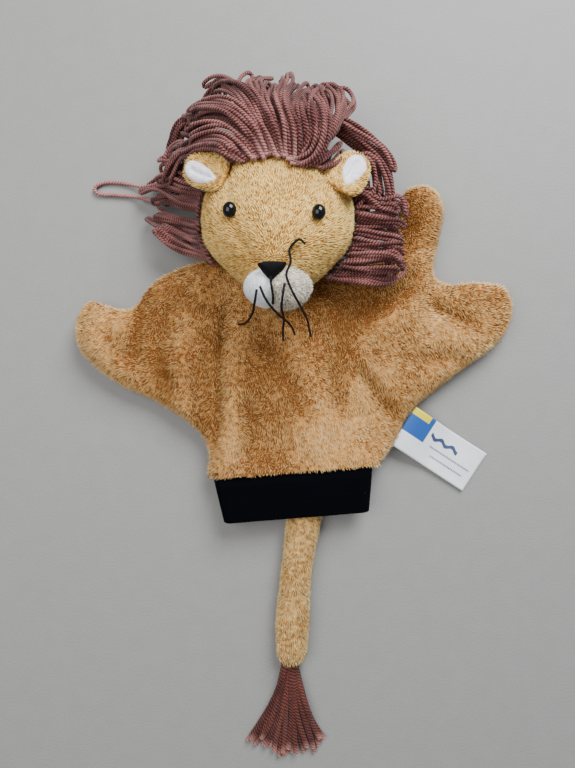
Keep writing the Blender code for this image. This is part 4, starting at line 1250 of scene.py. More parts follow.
class Glove:
    """The glove's body with its two limbs and its upper right paw."""

    def __init__(self, sizes: GloveSizes = GloveSizes()) -> None:
        """Cuts the cloth.

        Args:
            sizes: the glove's sizes.
        """
        self.sizes = sizes
        self.cuts = {limb: self._cut(a, b) for limb, a, b in sizes.roots}
        self.plan = Plan(sizes.edge_line(), 0.0021, (0.0004, 0.0012, 0.0026, 0.0044, 0.0064),
                         tuple(self._line(*cut) for cut in self.cuts.values()))
        self.inset = inset_of(self.plan.spots, sizes.edge_line(0.012))
        edge = inset_of(self.plan.spots, sizes.edge_line()) < 1e-6
        hem = self.plan.spots[:, 1] < self._hem_y(self.plan.spots[:, 0]) + 0.0012
        self.inset[edge & ~hem] = 0.0

    def _hem_y(self, x: np.ndarray) -> np.ndarray:
        """The height of the hem's line on the plan."""
        (right, right_y), (left, left_y) = self.sizes.hem
        return left_y + (x - left) * (right_y - left_y) / (right - left)

    @staticmethod
    def _cut(start: Spot, end: Spot) -> tuple[np.ndarray, np.ndarray]:
        """A limb's cut, a little on the glove's side of its root line, with the limb on its right.

        Args:
            start: the root line's start.
            end: its end.

        Returns:
            The start and end of the cut.
        """
        a, b = np.array(start), np.array(end)
        way = (b - a) / np.linalg.norm(b - a)
        left = np.array([-way[1], way[0]])
        return a + left * 0.0015 - way * 0.012, b + left * 0.0015 + way * 0.012

    @staticmethod
    def _line(start: np.ndarray, end: np.ndarray) -> np.ndarray:
        """A cut as a row of close points."""
        steps = math.ceil(np.linalg.norm(end - start) / 0.0018)
        return start + (end - start) * np.linspace(0, 1, steps + 1)[:, None]

    def _part(self, spots: np.ndarray) -> np.ndarray:
        """The limb that each spot is in, by its number, or -1 in the body.

        Args:
            spots: (n, 2) places.

        Returns:
            Each spot's number.
        """
        part = np.full(len(spots), -1)
        for i, limb in enumerate(Limb):
            start, end = self.cuts[limb]
            way = end - start
            side = way[0] * (spots[:, 1] - start[1]) - way[1] * (spots[:, 0] - start[0])
            paw = (spots[:, 1] > 0.0635) & (spots[:, 0] > 0.040)
            part[(side < 0) & (paw == (limb is Limb.PAW_UPPER_RIGHT))] = i
        return part

    def _heights(self) -> tuple[np.ndarray, np.ndarray]:
        """The heights of the front and of the back.

        Returns:
            The height of each of the plan's points, in front and at the back.
        """
        sizes, spots = self.sizes, self.plan.spots
        round_off = rounding(self.inset, sizes.edge)
        wave = ripple(spots, 32.0, 4.0) * 2.0 + ripple(spots, 80.0, 9.0) * 0.8
        folds = sum(crease.lift(spots) for crease in sizes.creases)
        from_hem = smoothstep(spots[:, 1] - self._hem_y(spots[:, 0]), 0.0015, 0.015)
        wave, folds = wave * from_hem, folds * (0.12 + 0.88 * from_hem)
        belly = 0.5 * np.exp(-((spots[:, 0] - 0.004) ** 2 + (spots[:, 1] - 0.01) ** 2) / 0.03**2)
        front = sizes.seam_z + round_off * (sizes.front + (wave + belly - 0.9 * from_hem) * MM + folds)
        back = sizes.seam_z - round_off * (sizes.back + ripple(spots, 60.0, 2.0) * 0.6 * MM)
        folded = inside(spots, FoldedPaw().edge_line(0.0035))
        back = np.where(folded, np.maximum(back, sizes.seam_z - 0.0008 * round_off), back)
        return np.minimum(front, sizes.highest), np.maximum(back, sizes.lowest)

    def _comb(self, mesh: bpy.types.Mesh) -> None:
        """Pile that falls away from the shoulders, with painted shade in crease valleys, painted highlight on
        ridges and swells, and painted light and shade patches.

        Args:
            mesh: the cloth.
        """
        spots = points_of(mesh)
        plan = spots[:, :2]
        # painted shade: darker in crease valleys and paler on ridges and swells of the cloth, stored as the
        # "fold" attribute
        shade = sum(crease.lift(plan) for crease in self.sizes.creases) / (3.2 * MM)
        shade += ripple(plan, 32.0, 4.0) * 0.7
        # painted light and shade patches: paler where the value is positive, darker where it is negative
        for x, y, reach, value in self.sizes.brushed:
            shade += value * np.exp(-((plan - (x * MM, y * MM)) ** 2).sum(axis=1) / (reach * MM) ** 2)
        shade = np.where(spots[:, 2] > self.sizes.seam_z - 1e-4, np.clip(shade, -1.3, 1.2), 0.0)
        mesh.attributes.new("fold", "FLOAT", "POINT").data.foreach_set("value", shade.astype(np.float32))
        wander = np.stack([ripple(spots, 60.0, 21.0), ripple(spots, 60.0, 33.0)], axis=1)
        flow = np.stack([spots[:, 0] * 5.0, np.full(len(spots), -0.55)], axis=1) + wander * 0.75
        set_comb(mesh, np.column_stack([flow * self.sizes.combed, np.zeros(len(spots))]))

    def build(self) -> None:
        """Makes the body's two panels and the three limbs."""
        front, back = self._heights()
        part = self._part(self.plan.spots[self.plan.triangles].mean(axis=1))
        for name, heights, upward in (("glove_front_plush", front, True), ("glove_back_plush", back, False)):
            cloth = self.plan.sheet(name, heights, part == -1, upward)
            self._comb(cloth)
            pile = Pile() if upward else Pile(spacing=0.0011, width=0.00055, length=0.0018, seed=8)
            sew(pile.cover(name, cloth, GLOVE_PLUSH, self.sizes.wall), "glove", "glove_plush",
                name.replace("_plush", "_panel"))
        for i, limb in enumerate(Limb):
            self._limb(limb, part == i, front, back)

    def _limb(self, limb: Limb, chosen: np.ndarray, front: np.ndarray, back: np.ndarray) -> None:
        """Makes one limb, cut off at its root.

        Args:
            limb: the limb.
            chosen: which of the plan's triangles it has.
            front: the heights of the front.
            back: the heights of the back.
        """
        name = limb.value + "_plush"
        cloth = self.plan.cushion(name, front, back, chosen)
        self._comb(cloth)
        piece = Pile(seed=5).cover(name, cloth, GLOVE_PLUSH, self.sizes.wall)
        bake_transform(piece)
        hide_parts(limb.value + "_front_panel", limb.value + "_back_panel")


@dataclass(frozen=True)
class FoldedPaw:
    """The upper left paw, turned under the shoulder into a hollow of the back."""

    fold: tuple[Spot, Spot] = ((-0.08126, 0.06346), (-0.04644, 0.0775))
    reach: float = 0.0425
    width: float = 0.0245
    middle_z: float = 0.0034
    half_height: float = 0.0026

    def edge_line(self, grow: float = 0.0) -> np.ndarray:
        """The paw's outline, counterclockwise, grown by so much.

        Args:
            grow: how much larger than the paw it is.

        Returns:
            The outline's points.
        """
        start, end = np.array(self.fold[0]), np.array(self.fold[1])
        way = (end - start) / np.linalg.norm(end - start)
        inward = np.array([way[1], -way[0]])
        half = self.width / 2 + grow
        base = (start + end) / 2 - inward * (grow * 3)
        centre = (start + end) / 2 + inward * (self.reach - self.width / 2)
        arc = [centre + half * (inward * math.cos(a) - way * math.sin(a))
               for a in np.linspace(math.pi / 2, -math.pi / 2, 25)]
        points = [base - way * half, *arc, base + way * half]
        steps = np.linspace(0, 1, 18)[1:-1]
        sides = [points[0] + (arc[0] - points[0]) * t for t in steps]
        other = [arc[-1] + (points[-1] - arc[-1]) * t for t in steps]
        return anticlockwise(np.array([points[0], *sides, *arc, *other, points[-1]]))

    def build(self) -> None:
        """Makes the paw, clear of the back's pile."""
        plan = Plan(self.edge_line(), 0.0022, (0.0005, 0.0016, 0.0032))
        name = "paw_upper_left_plush"
        high = rounding(inset_of(plan.spots, self.edge_line()), 0.005) * self.half_height
        cloth = plan.cushion(name, self.middle_z + high * 0.9, self.middle_z - high * 0.8)
        set_comb(cloth, np.tile((-0.3, -0.9, 0.0), (len(cloth.vertices), 1)))
        pile = Pile(spacing=0.0009, width=0.00045, length=0.0013, lean=1.6, seed=6)
        sew(pile.cover(name, cloth, GLOVE_PLUSH), "paw_upper_left", "glove_plush",
            "paw_upper_left_front_panel", "paw_upper_left_back_panel")


# ---------------------------------------------------------------- cuff, neck, tail


def tube_mesh(name: str, rings: np.ndarray, closed_ends: bool = True) -> bpy.types.Mesh:
    """A tube from rings of points.

    Args:
        name: the mesh's name.
        rings: (rings, sides, 3) points.
        closed_ends: whether both ends are capped.

    Returns:
        The mesh.
    """
    count, sides = rings.shape[:2]
    faces = [(i + j, i + (j + 1) % sides, i + sides + (j + 1) % sides, i + sides + j)
             for i in range(0, (count - 1) * sides, sides) for j in range(sides)]
    if closed_ends:
        faces += [list(range(sides)), list(range((count - 1) * sides, count * sides))]
    mesh = mesh_from(name, rings.reshape(-1, 3), faces)
    return welded(mesh, 1e-7)


@dataclass(frozen=True)
class Cuff:
    """A folded tube of rib knit, sewn into the hem."""

    tilt: float = math.radians(4.6)
    hem_y: float = -0.045
    length: float = 0.0252
    tuck: float = 0.0030
    half_hem: float = 0.0445
    half_mouth: float = 0.0405
    middle_z: float = 0.0122
    half_height: float = 0.0049
    wall: float = 0.0018
    ribs: int = 84
    rib_depth: float = 0.00013

    def _ring(self, s: float, shrink: float, sides: int) -> np.ndarray:
        """One ring of the flattened tube, at s down from the hem.

        Args:
            s: how far down from the hem.
            shrink: how far inside the outer side.
            sides: how many points.

        Returns:
            The ring's points.
        """
        share = np.clip(s / self.length, 0, 1)
        wide = self.half_hem + (self.half_mouth - self.half_hem) * share - shrink
        bulge = 1 - 0.46 * float(smoothstep(np.array(-s), -0.0045, -0.0005)) - 0.12 * share**2
        high = self.half_height * bulge - shrink
        flat = wide - high
        around = 4 * flat + 2 * math.pi * high
        out = []
        for k in range(sides):
            t = k / sides * around
            if t < 2 * flat:
                x, z, nx, nz = -flat + t, high, 0.0, 1.0
            elif t < 2 * flat + math.pi * high:
                a = (t - 2 * flat) / high
                nx, nz = math.sin(a), math.cos(a)
                x, z = flat + high * nx, high * nz
            elif t < 4 * flat + math.pi * high:
                x, z, nx, nz = flat - (t - 2 * flat - math.pi * high), -high, 0.0, -1.0
            else:
                a = (t - 4 * flat - math.pi * high) / high
                nx, nz = -math.sin(a), -math.cos(a)
                x, z = -flat + high * nx, high * nz
            rib = math.cos(k / sides * 2 * math.pi * self.ribs) * self.rib_depth
            wave = 0.00035 * math.sin(x * 190 + 1.3) * math.sin(s * 160 + x * 60)
            out.append((x + nx * rib, z + nz * (rib + (wave if z > 0 else 0.0))))
        cos, sin = math.cos(self.tilt), math.sin(self.tilt)
        return np.array([(x * cos + s * sin, self.hem_y + x * sin - s * cos, self.middle_z + z)
                         for x, z in out])

    def build(self) -> None:
        """Makes the cuff: down its outside, round its folded mouth, and up its inside."""
        sides = self.ribs * 8
        outer = np.linspace(-self.tuck, self.length - self.wall / 2, 34)
        lip = self.wall / 2
        mouth = [(self.length - lip + lip * math.sin(a), lip * (1 - math.cos(a)))
                 for a in np.linspace(0, math.pi, 7)[1:-1]]
        rings = [self._ring(s, 0.0, sides) for s in outer]
        rings += [self._ring(s, shrink, sides) for s, shrink in mouth]
        rings += [self._ring(s, self.wall, sides) for s in outer[::-1][::3]]
        rings.append(rings[0])
        mesh = tube_mesh("cuff_rib_knit", np.array(rings), closed_ends=False)
        sew(link(mesh.name, mesh, CUFF_KNIT), "glove", "cuff_knit", "wrist_cuff")


@dataclass(frozen=True)
class Neck:
    """The plush tube between the glove and the head."""

    centre: Point = (-0.0083, 0.071, 0.0105)
    half_width: float = 0.0172
    half_height: float = 0.0056
    start: float = -0.003
    length: float = 0.017

    @staticmethod
    def _squared(value: float) -> float:
        """A cosine or sine, pushed outwards so that the section is nearly a box."""
        return math.copysign(abs(value) ** 0.6, value)

    def build(self) -> None:
        """Makes the tube, which runs from the glove to the head's own hinge."""
        x, y, z = self.centre
        around = [(self._squared(math.cos(a)), self._squared(math.sin(a)))
                  for a in np.linspace(0, math.tau, 72, endpoint=False)]
        rings = []
        for s in np.linspace(self.start, self.length, 18):
            waist = math.sin(math.pi * (s - self.start) / (self.length - self.start))
            wide = self.half_width * (1 - 0.10 * waist)
            rings.append([(x + wide * across, y + s, z + self.half_height * up) for across, up in around])
        cloth = tube_mesh("neck_plush", np.array(rings))
        set_comb(cloth, np.tile((0.0, -0.8, 0.0), (len(cloth.vertices), 1)))
        pile = Pile(spacing=0.0009, width=0.00045, length=0.0020, seed=12)
        piece = pile.cover("neck_plush", cloth, GLOVE_PLUSH)
        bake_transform(piece)
        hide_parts("neck_tube")


@dataclass(frozen=True)
class Tail:
    """A long stuffed tube that ends in a tassel of yarn."""

    half_width: float = 0.0087
    height: float = 0.0112
    root_height: float = 0.0048
    length: float = 0.1074
    room: float = 0.0100
    root: Spot = (0.0114, -0.0470)
    drift: float = 0.0122
    sides: int = 44
    tassel_root: Spot = (-0.0015, -0.1545)
    fan: float = 0.39  # the outermost strands' turn to either side
    strand_length: float = 0.0565
    seed: int = 7

    def middle(self, share: float) -> Spot:
        """A point of the tail's line on the table."""
        return self.root[0] - self.drift * share * (2 - share), self.root[1] - self.length * share

    def build(self) -> None:
        """Makes the stuffed tube and the tassel."""
        rings = []
        shares = [0.0, 0.003, 0.008, *np.linspace(0.015, 0.93, 70), 0.955, 0.975, 0.99, 0.998, 1.0]
        for share in shares:
            x, y = self.middle(share)
            s = share * self.length
            rise = float(smoothstep(np.array(s), 0.004, self.room + 0.020))
            high = (self.root_height + (self.height - self.root_height) * rise) / 2
            round_off = math.sqrt(max(0.0, 1 - (max(0.0, share - 0.90) / 0.1003) ** 2))
            close = min(1.0, round_off * 0.72 + 0.28 * (share < 1))
            close *= min(1.0, 0.35 + 0.65 * math.sqrt(min(1.0, share / 0.015)))
            dent = 1 + 0.035 * noise.noise(Vector((0.0, s * 120, 3.0))) + 0.02 * math.sin(s * 260)
            wide = self.half_width * close * dent * (1 - 0.10 * share)
            way = Vector((-self.drift * (2 - 2 * share), -self.length, 0)).normalized()
            across, centre = Vector((-way.y, way.x, 0)), Vector((x, y, TABLE_CLEAR + 0.0009 + high))
            rings.append([tuple(centre + across * wide * math.cos(a) * (1.0 + 0.06 * math.sin(s * 90))
                                + Vector((0, 0, 1)) * high * close * math.sin(a))
                          for a in np.linspace(0, math.tau, self.sides, endpoint=False)])
        cloth = tube_mesh("tail_plush", np.array(rings))
        spots = points_of(cloth)
        wander = np.stack([ripple(spots, 90.0, 5.0), ripple(spots, 90.0, 15.0) * 0.6], axis=1)
        flow = np.column_stack([wander[:, 0] * 0.8 + (spots[:, 0] - 0.001) * 30, -0.8 + wander[:, 1]])
        set_comb(cloth, np.column_stack([flow * 0.7, np.zeros(len(spots))]))
        pile = Pile(spacing=0.00064, width=0.00034, length=0.0022, seed=9)
        piece = pile.cover("tail_plush", cloth, TAIL_PLUSH)
        sew(piece, "tail", "glove_plush", "tail_cover", "tail_stuffing")
        self._tassel()

    def _tassel(self) -> None:
        """Thick strands that fan out from the tail's end, frayed at their tips."""
        root, routes, rng = self.tassel_root, [], np.random.default_rng(self.seed)
        fan = np.linspace(-self.fan, self.fan, 11)
        for layer, turns in enumerate((fan, fan[:-1] + 0.036)):
            for i, turn in enumerate(turns):
                long = self.strand_length - 0.014 * abs(turn) + rng.uniform(-0.0035, 0.002) - 0.002 * layer
                turn = turn + rng.uniform(-0.015, 0.015) - 0.035
                line = []
                for t in np.linspace(0, 1, 42):
                    spread = turn * (0.35 + 0.65 * t)
                    x = root[0] + turn * 0.0085 + math.sin(spread) * long * t
                    y = root[1] - math.cos(spread) * long * t
                    wobble = 0.0011 * math.sin(6.0 * t + i * 1.9 + layer) * t
                    z = (0.0062 if layer else 0.0030) * (1 - t) + (0.0030 if layer else 0.0014) * t
                    line.append((x + wobble, y, z + 0.0005 * math.sin(9 * t + i)))
                routes.append(np.array(line))
        piece = Yarn(diameter=0.0030, sides=10, step=0.0009).lay("tail_tassel_yarn", routes, TASSEL_YARN)
        sew(piece, "tassel", "mane_yarn", "tail_tassel")


# ---------------------------------------------------------------- label


@dataclass(frozen=True)
class Label:
    """A satin ribbon sewn into the right seam, lying down on the table."""

    root: Point = (0.0625, -0.0193, 0.0085)
    heading: float = math.radians(-33)
    length: float = 0.0510
    width: float = 0.0255
    tip_z: float = 0.0016
    thickness: float = 0.00045
    rows: int = 44
    columns: int = 22

    def build(self) -> None:
        """Makes the ribbon with its own map, along and across."""
        along = np.array((math.cos(self.heading), math.sin(self.heading)))
        across = np.array((-along[1], along[0]))
        rows, columns = self.rows, self.columns
        points, maps = [], []
        for i in range(rows + 1):
            u = i / rows
            fall = 1 - float(smoothstep(np.array(u), 0.02, 0.55))
            for j in range(columns + 1):
                v = j / columns
                curl = 0.0011 * (2 * v - 1) ** 2 * u + 0.0007 * math.sin(math.pi * (u * 1.4 + v * 0.5))
                z = self.tip_z + (self.root[2] - self.tip_z) * fall + max(0.0, curl)
                flat = along * u * self.length * 0.988 + across * (v - 0.5) * self.width
                points.append((*(np.array(self.root[:2]) + flat), z))
                maps.append((u, v))
        wide = columns + 1
        faces = [(i * wide + j, (i + 1) * wide + j, (i + 1) * wide + j + 1, i * wide + j + 1)
                 for i in range(rows) for j in range(columns)]
        mesh = mesh_from("label_satin_ribbon", np.array(points), faces)
        ribbon = mesh.uv_layers.new(name="ribbon")
        for corner in mesh.loops:
            ribbon.data[corner.index].uv = maps[corner.vertex_index]
        piece = link("label_satin_ribbon", mesh, LABEL_SATIN)
        solid_wall(piece, self.thickness)
        sew(piece, "label", "label_satin", "sewn_label")


# ---------------------------------------------------------------- head


@dataclass(frozen=True)
class HeadSizes:
    """The stuffed head and the seams of its face, which is turned to +Z."""

    centre: Point = (-0.0083, 0.091, 0.031)
    radii: Point = (0.0393, 0.0393, 0.0291)
    seams: tuple[tuple[Spot, ...], ...] = (
        ((-31, 121), (-32.4, 110), (-32.2, 98), (-31.2, 90), (-28.0, 79), (-21.5, 69), (-16.0, 62)),
        ((14, 121), (15.0, 110), (13.8, 98), (12.0, 90), (8.6, 79), (1.5, 69), (-4.5, 62)))
    seam_depth: float = 0.0013
    seam_width: float = 0.0026
    under_low: float = 0.0196
    under_y: Spot = (0.0865, 0.098)
    nod_y: float = 0.0712
    nod: float = math.radians(33)
    eyes: tuple[Point, Point] = ((-0.03135, 0.0891, 0.0557), (0.0121, 0.0876, 0.0568))
    eye_radii: Point = (0.0034, 0.0039, 0.0030)
    muzzle: Point = (-0.0083, 0.0532, 0.0435)
    muzzle_radii: Point = (0.0168, 0.0112, 0.0138)
    mouth_x: float = -0.0110
    nose: tuple[Spot, ...] = ((-17.6, 62.9), (-14.5, 63.6), (-10.6, 63.9), (-6.6, 63.7), (-3.6, 63.2),
                              (-4.6, 60.6), (-8.0, 57.0), (-10.9, 54.8), (-13.6, 56.9), (-16.6, 60.5))
    nose_z: Spot = (0.0560, 0.0604)
    nose_bridge: Point = (-0.0103, 0.060, 0.058)  # the pile is combed away from here
    mouth: tuple[Point, ...] = ((-11.0, 56.0, 59.2), (-11.1, 53.0, 57.8), (-10.5, 49.5, 56.0),
                                (-10.2, 46.5, 53.2), (-10.4, 44.0, 50.0))


class Head:
    """The stuffed head with its muzzle, nose, eyes and mouth."""

    def __init__(self, sizes: HeadSizes = HeadSizes()) -> None:
        """Keeps the sizes."""
        self.sizes = sizes

    def surface(self, spots: np.ndarray) -> np.ndarray:
        """Points of a unit sphere as points of the head's cloth.

        Args:
            spots: (n, 3) points at distance 1 from 0.

        Returns:
            The cloth's points.
        """
        sizes = self.sizes
        narrow = 1 - 0.13 * smoothstep(-spots[:, 1], 0.25, 0.80)
        out = spots * np.array(sizes.radii)
        out[:, 0] *= narrow
        out += np.array(sizes.centre)
        up = spots[:, 2] > 0
        for line in sizes.seams:
            far, along = nearest_on(out[:, :2], drawn(line, 10))
            fade = smoothstep(np.minimum(along, 1 - along), 0.0, 0.08) * smoothstep(spots[:, 2], 0.0, 0.35)
            groove = np.exp(-(far / sizes.seam_width) ** 2) * sizes.seam_depth
            out -= spots * (groove * fade)[:, None]
        for x, y, _ in sizes.eyes:
            far = np.hypot(out[:, 0] - x, out[:, 1] - y)
            out -= spots * (np.exp(-(far / 0.0046) ** 2) * 0.0007 * up)[:, None]
        cheek = np.exp(-((np.abs(out[:, 0] - sizes.centre[0]) - 0.030) / 0.010) ** 2
                       - ((out[:, 1] - 0.074) / 0.016) ** 2)
        out += spots * (cheek * 0.0012 * up)[:, None]
        out += spots * (ripple(spots, 2.2, 6.0) * 0.0007)[:, None]
        out[:, 2] = np.maximum(out[:, 2], self.lowest(out[:, 1]))
        return out

    def lowest(self, y: np.ndarray) -> np.ndarray:
        """How low the face may reach over the glove, which it nods towards.

        Args:
            y: places along the body.

        Returns:
            The lowest height at each.
        """
        sizes = self.sizes
        low = sizes.under_low + (0.0016 - sizes.under_low) * smoothstep(y, *sizes.under_y)
        return low + np.maximum(0.0, sizes.nod_y - y) * math.tan(sizes.nod)

    def build(self) -> None:
        """Makes the head and everything sewn to its face."""
        self._cover()
        self._muzzle()
        self._nose()
        self._eyes()
        self._mouth()

    def _cover(self) -> None:
        """The plush cover, with a groove at each seam of the face."""
        work = bmesh.new()
        bmesh.ops.create_icosphere(work, subdivisions=6, radius=1.0)
        unit = np.array([tuple(v.co.normalized()) for v in work.verts])
        spots = self.surface(unit)
        for vert, spot in zip(work.verts, spots):
            vert.co = spot
        mesh = smooth_mesh("head_plush", work)
        from_nose = spots - np.array(self.sizes.nose_bridge)
        from_nose /= np.linalg.norm(from_nose, axis=1, keepdims=True)
        comb = from_nose - unit * (from_nose * unit).sum(axis=1, keepdims=True)
        comb /= np.maximum(np.linalg.norm(comb, axis=1, keepdims=True), 0.2)
        wander = np.stack([ripple(spots, 70.0, s) for s in (3.0, 13.0, 23.0)], axis=1)
        under = smoothstep(-unit[:, 2], 0.05, 0.35)
        set_comb(mesh, comb + wander * 0.45, 0.55 * under)
        pile = Pile(spacing=0.00068, width=0.00034, length=0.0023, clump=0.32, seed=4)
        piece = pile.cover("head_plush", mesh, HEAD_PLUSH)
        sew(piece, "head", "head_plush", "head_face_strip", "head_cheek_left", "head_cheek_right",
            "head_back")

    def _muzzle(self) -> None:
        """Two lobes, the left one in smooth white and the right one in cream pile that is darker, partly as
        painted shade.
        """
        sizes = self.sizes
        for node, side, finish, slot, pile in (
                ("muzzle_left", -1, WHITE_PLUSH, "white_plush",
                 Pile(spacing=0.00055, width=0.00034, length=0.0008, lean=1.0, seed=14)),
                ("muzzle_right", 1, CREAM_PLUSH, "cream_plush",
                 Pile(spacing=0.00062, width=0.00034, length=0.0017, lean=0.8, clump=0.8, scatter=0.4,
                      clump_scale=500.0, seed=15))):
            name = node + "_fleece"
            work = bmesh.new()
            bmesh.ops.create_icosphere(work, subdivisions=5, radius=1.0)
            for vert in work.verts:
                vert.co = Vector(sizes.muzzle) + Vector(a * b for a, b in zip(vert.co, sizes.muzzle_radii))
            middle = (sizes.mouth_x + side * 0.0002, 0, 0)
            cut = bmesh.ops.bisect_plane(work, geom=[*work.verts, *work.edges, *work.faces],
                                         plane_co=middle, plane_no=(side, 0, 0), clear_inner=True)
            rim = [e for e in cut["geom_cut"] if isinstance(e, bmesh.types.BMEdge)]
            bmesh.ops.holes_fill(work, edges=rim, sides=0)
            bmesh.ops.triangulate(work, faces=[f for f in work.faces if len(f.verts) > 4])
            for vert in work.verts:
                near = math.exp(-((vert.co.x - sizes.mouth_x) / 0.0028) ** 2)
                vert.co.z -= 0.0026 * near
                vert.co.y += 0.0016 * near
                vert.co.z = max(vert.co.z, float(self.lowest(np.array(vert.co.y))) + 0.0004)
            bmesh.ops.recalc_face_normals(work, faces=work.faces)
            mesh = smooth_mesh(name, work)
            spots = points_of(mesh)
            wander = np.stack([ripple(spots, 160.0, s) for s in (2.0, 12.0, 22.0)], axis=1)
            away = spots - np.array((sizes.mouth_x, 0.060, 0.056))
            away /= np.linalg.norm(away, axis=1, keepdims=True)
            set_comb(mesh, away * 0.8 + wander * 0.6)
            sew(pile.cover(name, mesh, finish), "head", slot, node)

    def _nose(self) -> None:
        """A felt triangle, crowned, over the top of the muzzle."""
        sizes = self.sizes
        line = anticlockwise(drawn(sizes.nose, closed=True))
        plan = Plan(line, 0.0008, (0.0002, 0.0006, 0.0012))
        inset = inset_of(plan.spots, line)
        low, high = sizes.nose_z
        slope = (plan.spots[:, 1] - 0.0635) * 0.14
        crown = rounding(inset, 0.0042)
        upper = low + slope + crown * (high - low)
        lower = low + slope - rounding(inset, 0.001) * 0.0012
        mesh = plan.cushion("nose_felt_triangle", upper, lower)
        sew(link(mesh.name, mesh, NOSE_FELT), "head", "nose_felt", "nose")

    def _eyes(self) -> None:
        """Domed gloss eyes on stems, sunk in the pile."""
        sizes = self.sizes
        for node, place in zip(("eye_left", "eye_right"), sizes.eyes):
            work = bmesh.new()
            bmesh.ops.create_uvsphere(work, u_segments=48, v_segments=28, radius=1.0)
            for vert in work.verts:
                x, y, z = vert.co
                if z < -0.05:
                    deep = min(1.0, (-z - 0.05) / 0.95)
                    thin = 0.36 + 0.64 * max(0.0, 1 - deep * 9)
                    x, y, z = x * thin, y * thin, -0.05 - deep * 1.6
                vert.co = Vector(place) + Vector(a * b for a, b in zip((x, y, z), sizes.eye_radii))
            mesh = smooth_mesh(node + "_dome", work)
            sew(link(mesh.name, mesh, EYE_GLOSS), "head", "eye_plastic", node)

    def _mouth(self) -> None:
        """The line of thread down from the nose."""
        line = drawn(self.sizes.mouth, 10)
        piece = Yarn(diameter=0.0012, step=0.0004).lay("mouth_thread", [line], BLACK_THREAD)
        sew(piece, "head", "black_thread", "mouth_stitch")


class Side(Enum):
    """The two ears, as seen with the face towards the viewer."""

    LEFT = "left"
    RIGHT = "right"


@dataclass(frozen=True)
class Ear:
    """A plush leaf with a white lining that is creased down its middle."""

    side: Side
    root: Point
    heading: float
    lining: tuple[Spot, ...]
    crease: tuple[Spot, ...]
    pitch: float = math.radians(18)
    leaf: tuple[Spot, ...] = ((0, -5.5), (3, -8.4), (9, -9.2), (16, -8.6), (21.5, -5.6), (23.6, 0),
                              (21.5, 5.6), (16, 8.6), (9, 9.2), (3, 8.4), (0, 5.5))

    def _matrix(self) -> Matrix:
        """From the ear's own frame, X to its tip and Z out of its lining, to the row frame."""
        return (Matrix.Translation(self.root) @ Matrix.Rotation(self.heading, 4, "Z")
                @ Matrix.Rotation(self.pitch, 4, "Y"))

    def build(self) -> None:
        """Makes the cover and the lining."""
        line, lining = drawn(self.leaf, closed=True), self._lining_line()
        plan = Plan(line, 0.0011, (0.0003, 0.0010, 0.0020))
        body = f"ear_{self.side.value}"
        round_off = rounding(inset_of(plan.spots, line), 0.0028)
        lined = smoothstep(inset_of(plan.spots, lining), 0.0, 0.003)
        hollow = np.where(inside(plan.spots, lining), lined, 0.0)
        upper = -0.0006 + round_off * (0.0019 - 0.0010 * hollow)
        lower = -0.0006 - round_off * 0.0019
        cloth = plan.cushion(body + "_plush", upper, lower)
        spots = points_of(cloth)
        set_comb(cloth, np.column_stack([np.full(len(spots), 0.9), spots[:, 1] * 60, np.zeros(len(spots))]),
                 np.where(inside(spots[:, :2], lining) & (spots[:, 2] > 0), 0.9, 0.0))
        cloth.transform(self._matrix())
        turn = self._matrix().to_3x3()
        for item in cloth.attributes["comb"].data:
            item.vector = turn @ Vector(item.vector)
        pile = Pile(spacing=0.00064, width=0.00034, length=0.0017, seed=16)
        sew(pile.cover(body + "_plush", cloth, HEAD_PLUSH), body, "head_plush", body + "_cover")
        self._lining(body)

    def _lining_line(self) -> np.ndarray:
        """The lining's outline, counterclockwise."""
        return anticlockwise(drawn(self.lining, closed=True))

    def _lining(self, body: str) -> None:
        """The white lining, proud of the cover's hollow, with its crease.

        Args:
            body: the ear's body.
        """
        line = self._lining_line()
        plan = Plan(line, 0.0008, (0.0002, 0.0007, 0.0014))
        round_off = rounding(inset_of(plan.spots, line), 0.0018)
        far, along = nearest_on(plan.spots, drawn(self.crease))
        fade = smoothstep(np.minimum(along, 1 - along), -0.02, 0.12)
        fold = np.exp(-(far / 0.00075) ** 2) * 0.0011 * fade
        puff = np.exp(-((np.abs(far) - 0.0024) / 0.0018) ** 2) * 0.0005 * fade
        upper = 0.0006 + round_off * (0.0013 + puff - fold)
        mesh = plan.cushion(body + "_fleece", upper, 0.0006 - round_off * 0.0008)
        set_comb(mesh, np.zeros((len(mesh.vertices), 3)))
        mesh.transform(self._matrix())
        pile = Pile(spacing=0.0006, width=0.00028, length=0.0005, lean=0.6, seed=18)
        sew(pile.cover(body + "_fleece", mesh, EAR_WHITE), body, "white_plush", body + "_lining")


EARS = (
    Ear(Side.LEFT, (-0.03358, 0.10751, 0.0518), math.radians(161),
        ((3.5, 3.6), (9, 7.2), (15, 7.4), (20.5, 5.0), (22.6, 0.2), (19.5, -2.8), (12, -1.6), (6, 1.0)),
        ((5.5, 3.4), (12, 3.0), (19.5, 1.6))),
    Ear(Side.RIGHT, (0.02303, 0.10021, 0.0518), math.radians(62),
        ((3.0, -1.8), (8, -5.0), (15, -6.6), (20, -5.0), (22.4, -0.8), (19.8, 3.4), (13.5, 4.6), (7.0, 2.8)),
        ((5.5, 0.2), (10, -0.6), (15.5, -0.2), (19.0, -1.4))),
)


# ---------------------------------------------------------------- mane


@dataclass(frozen=True)
class Hank:
    """A bundle of yarn loops along one line, in mm from the head's centre on the plan."""

    points: tuple[Point, ...]
    loops: int = 5
    spread: float = 4.6
    thick: float = 2.4
    root: float = 0.45
    stray: float = 3.0


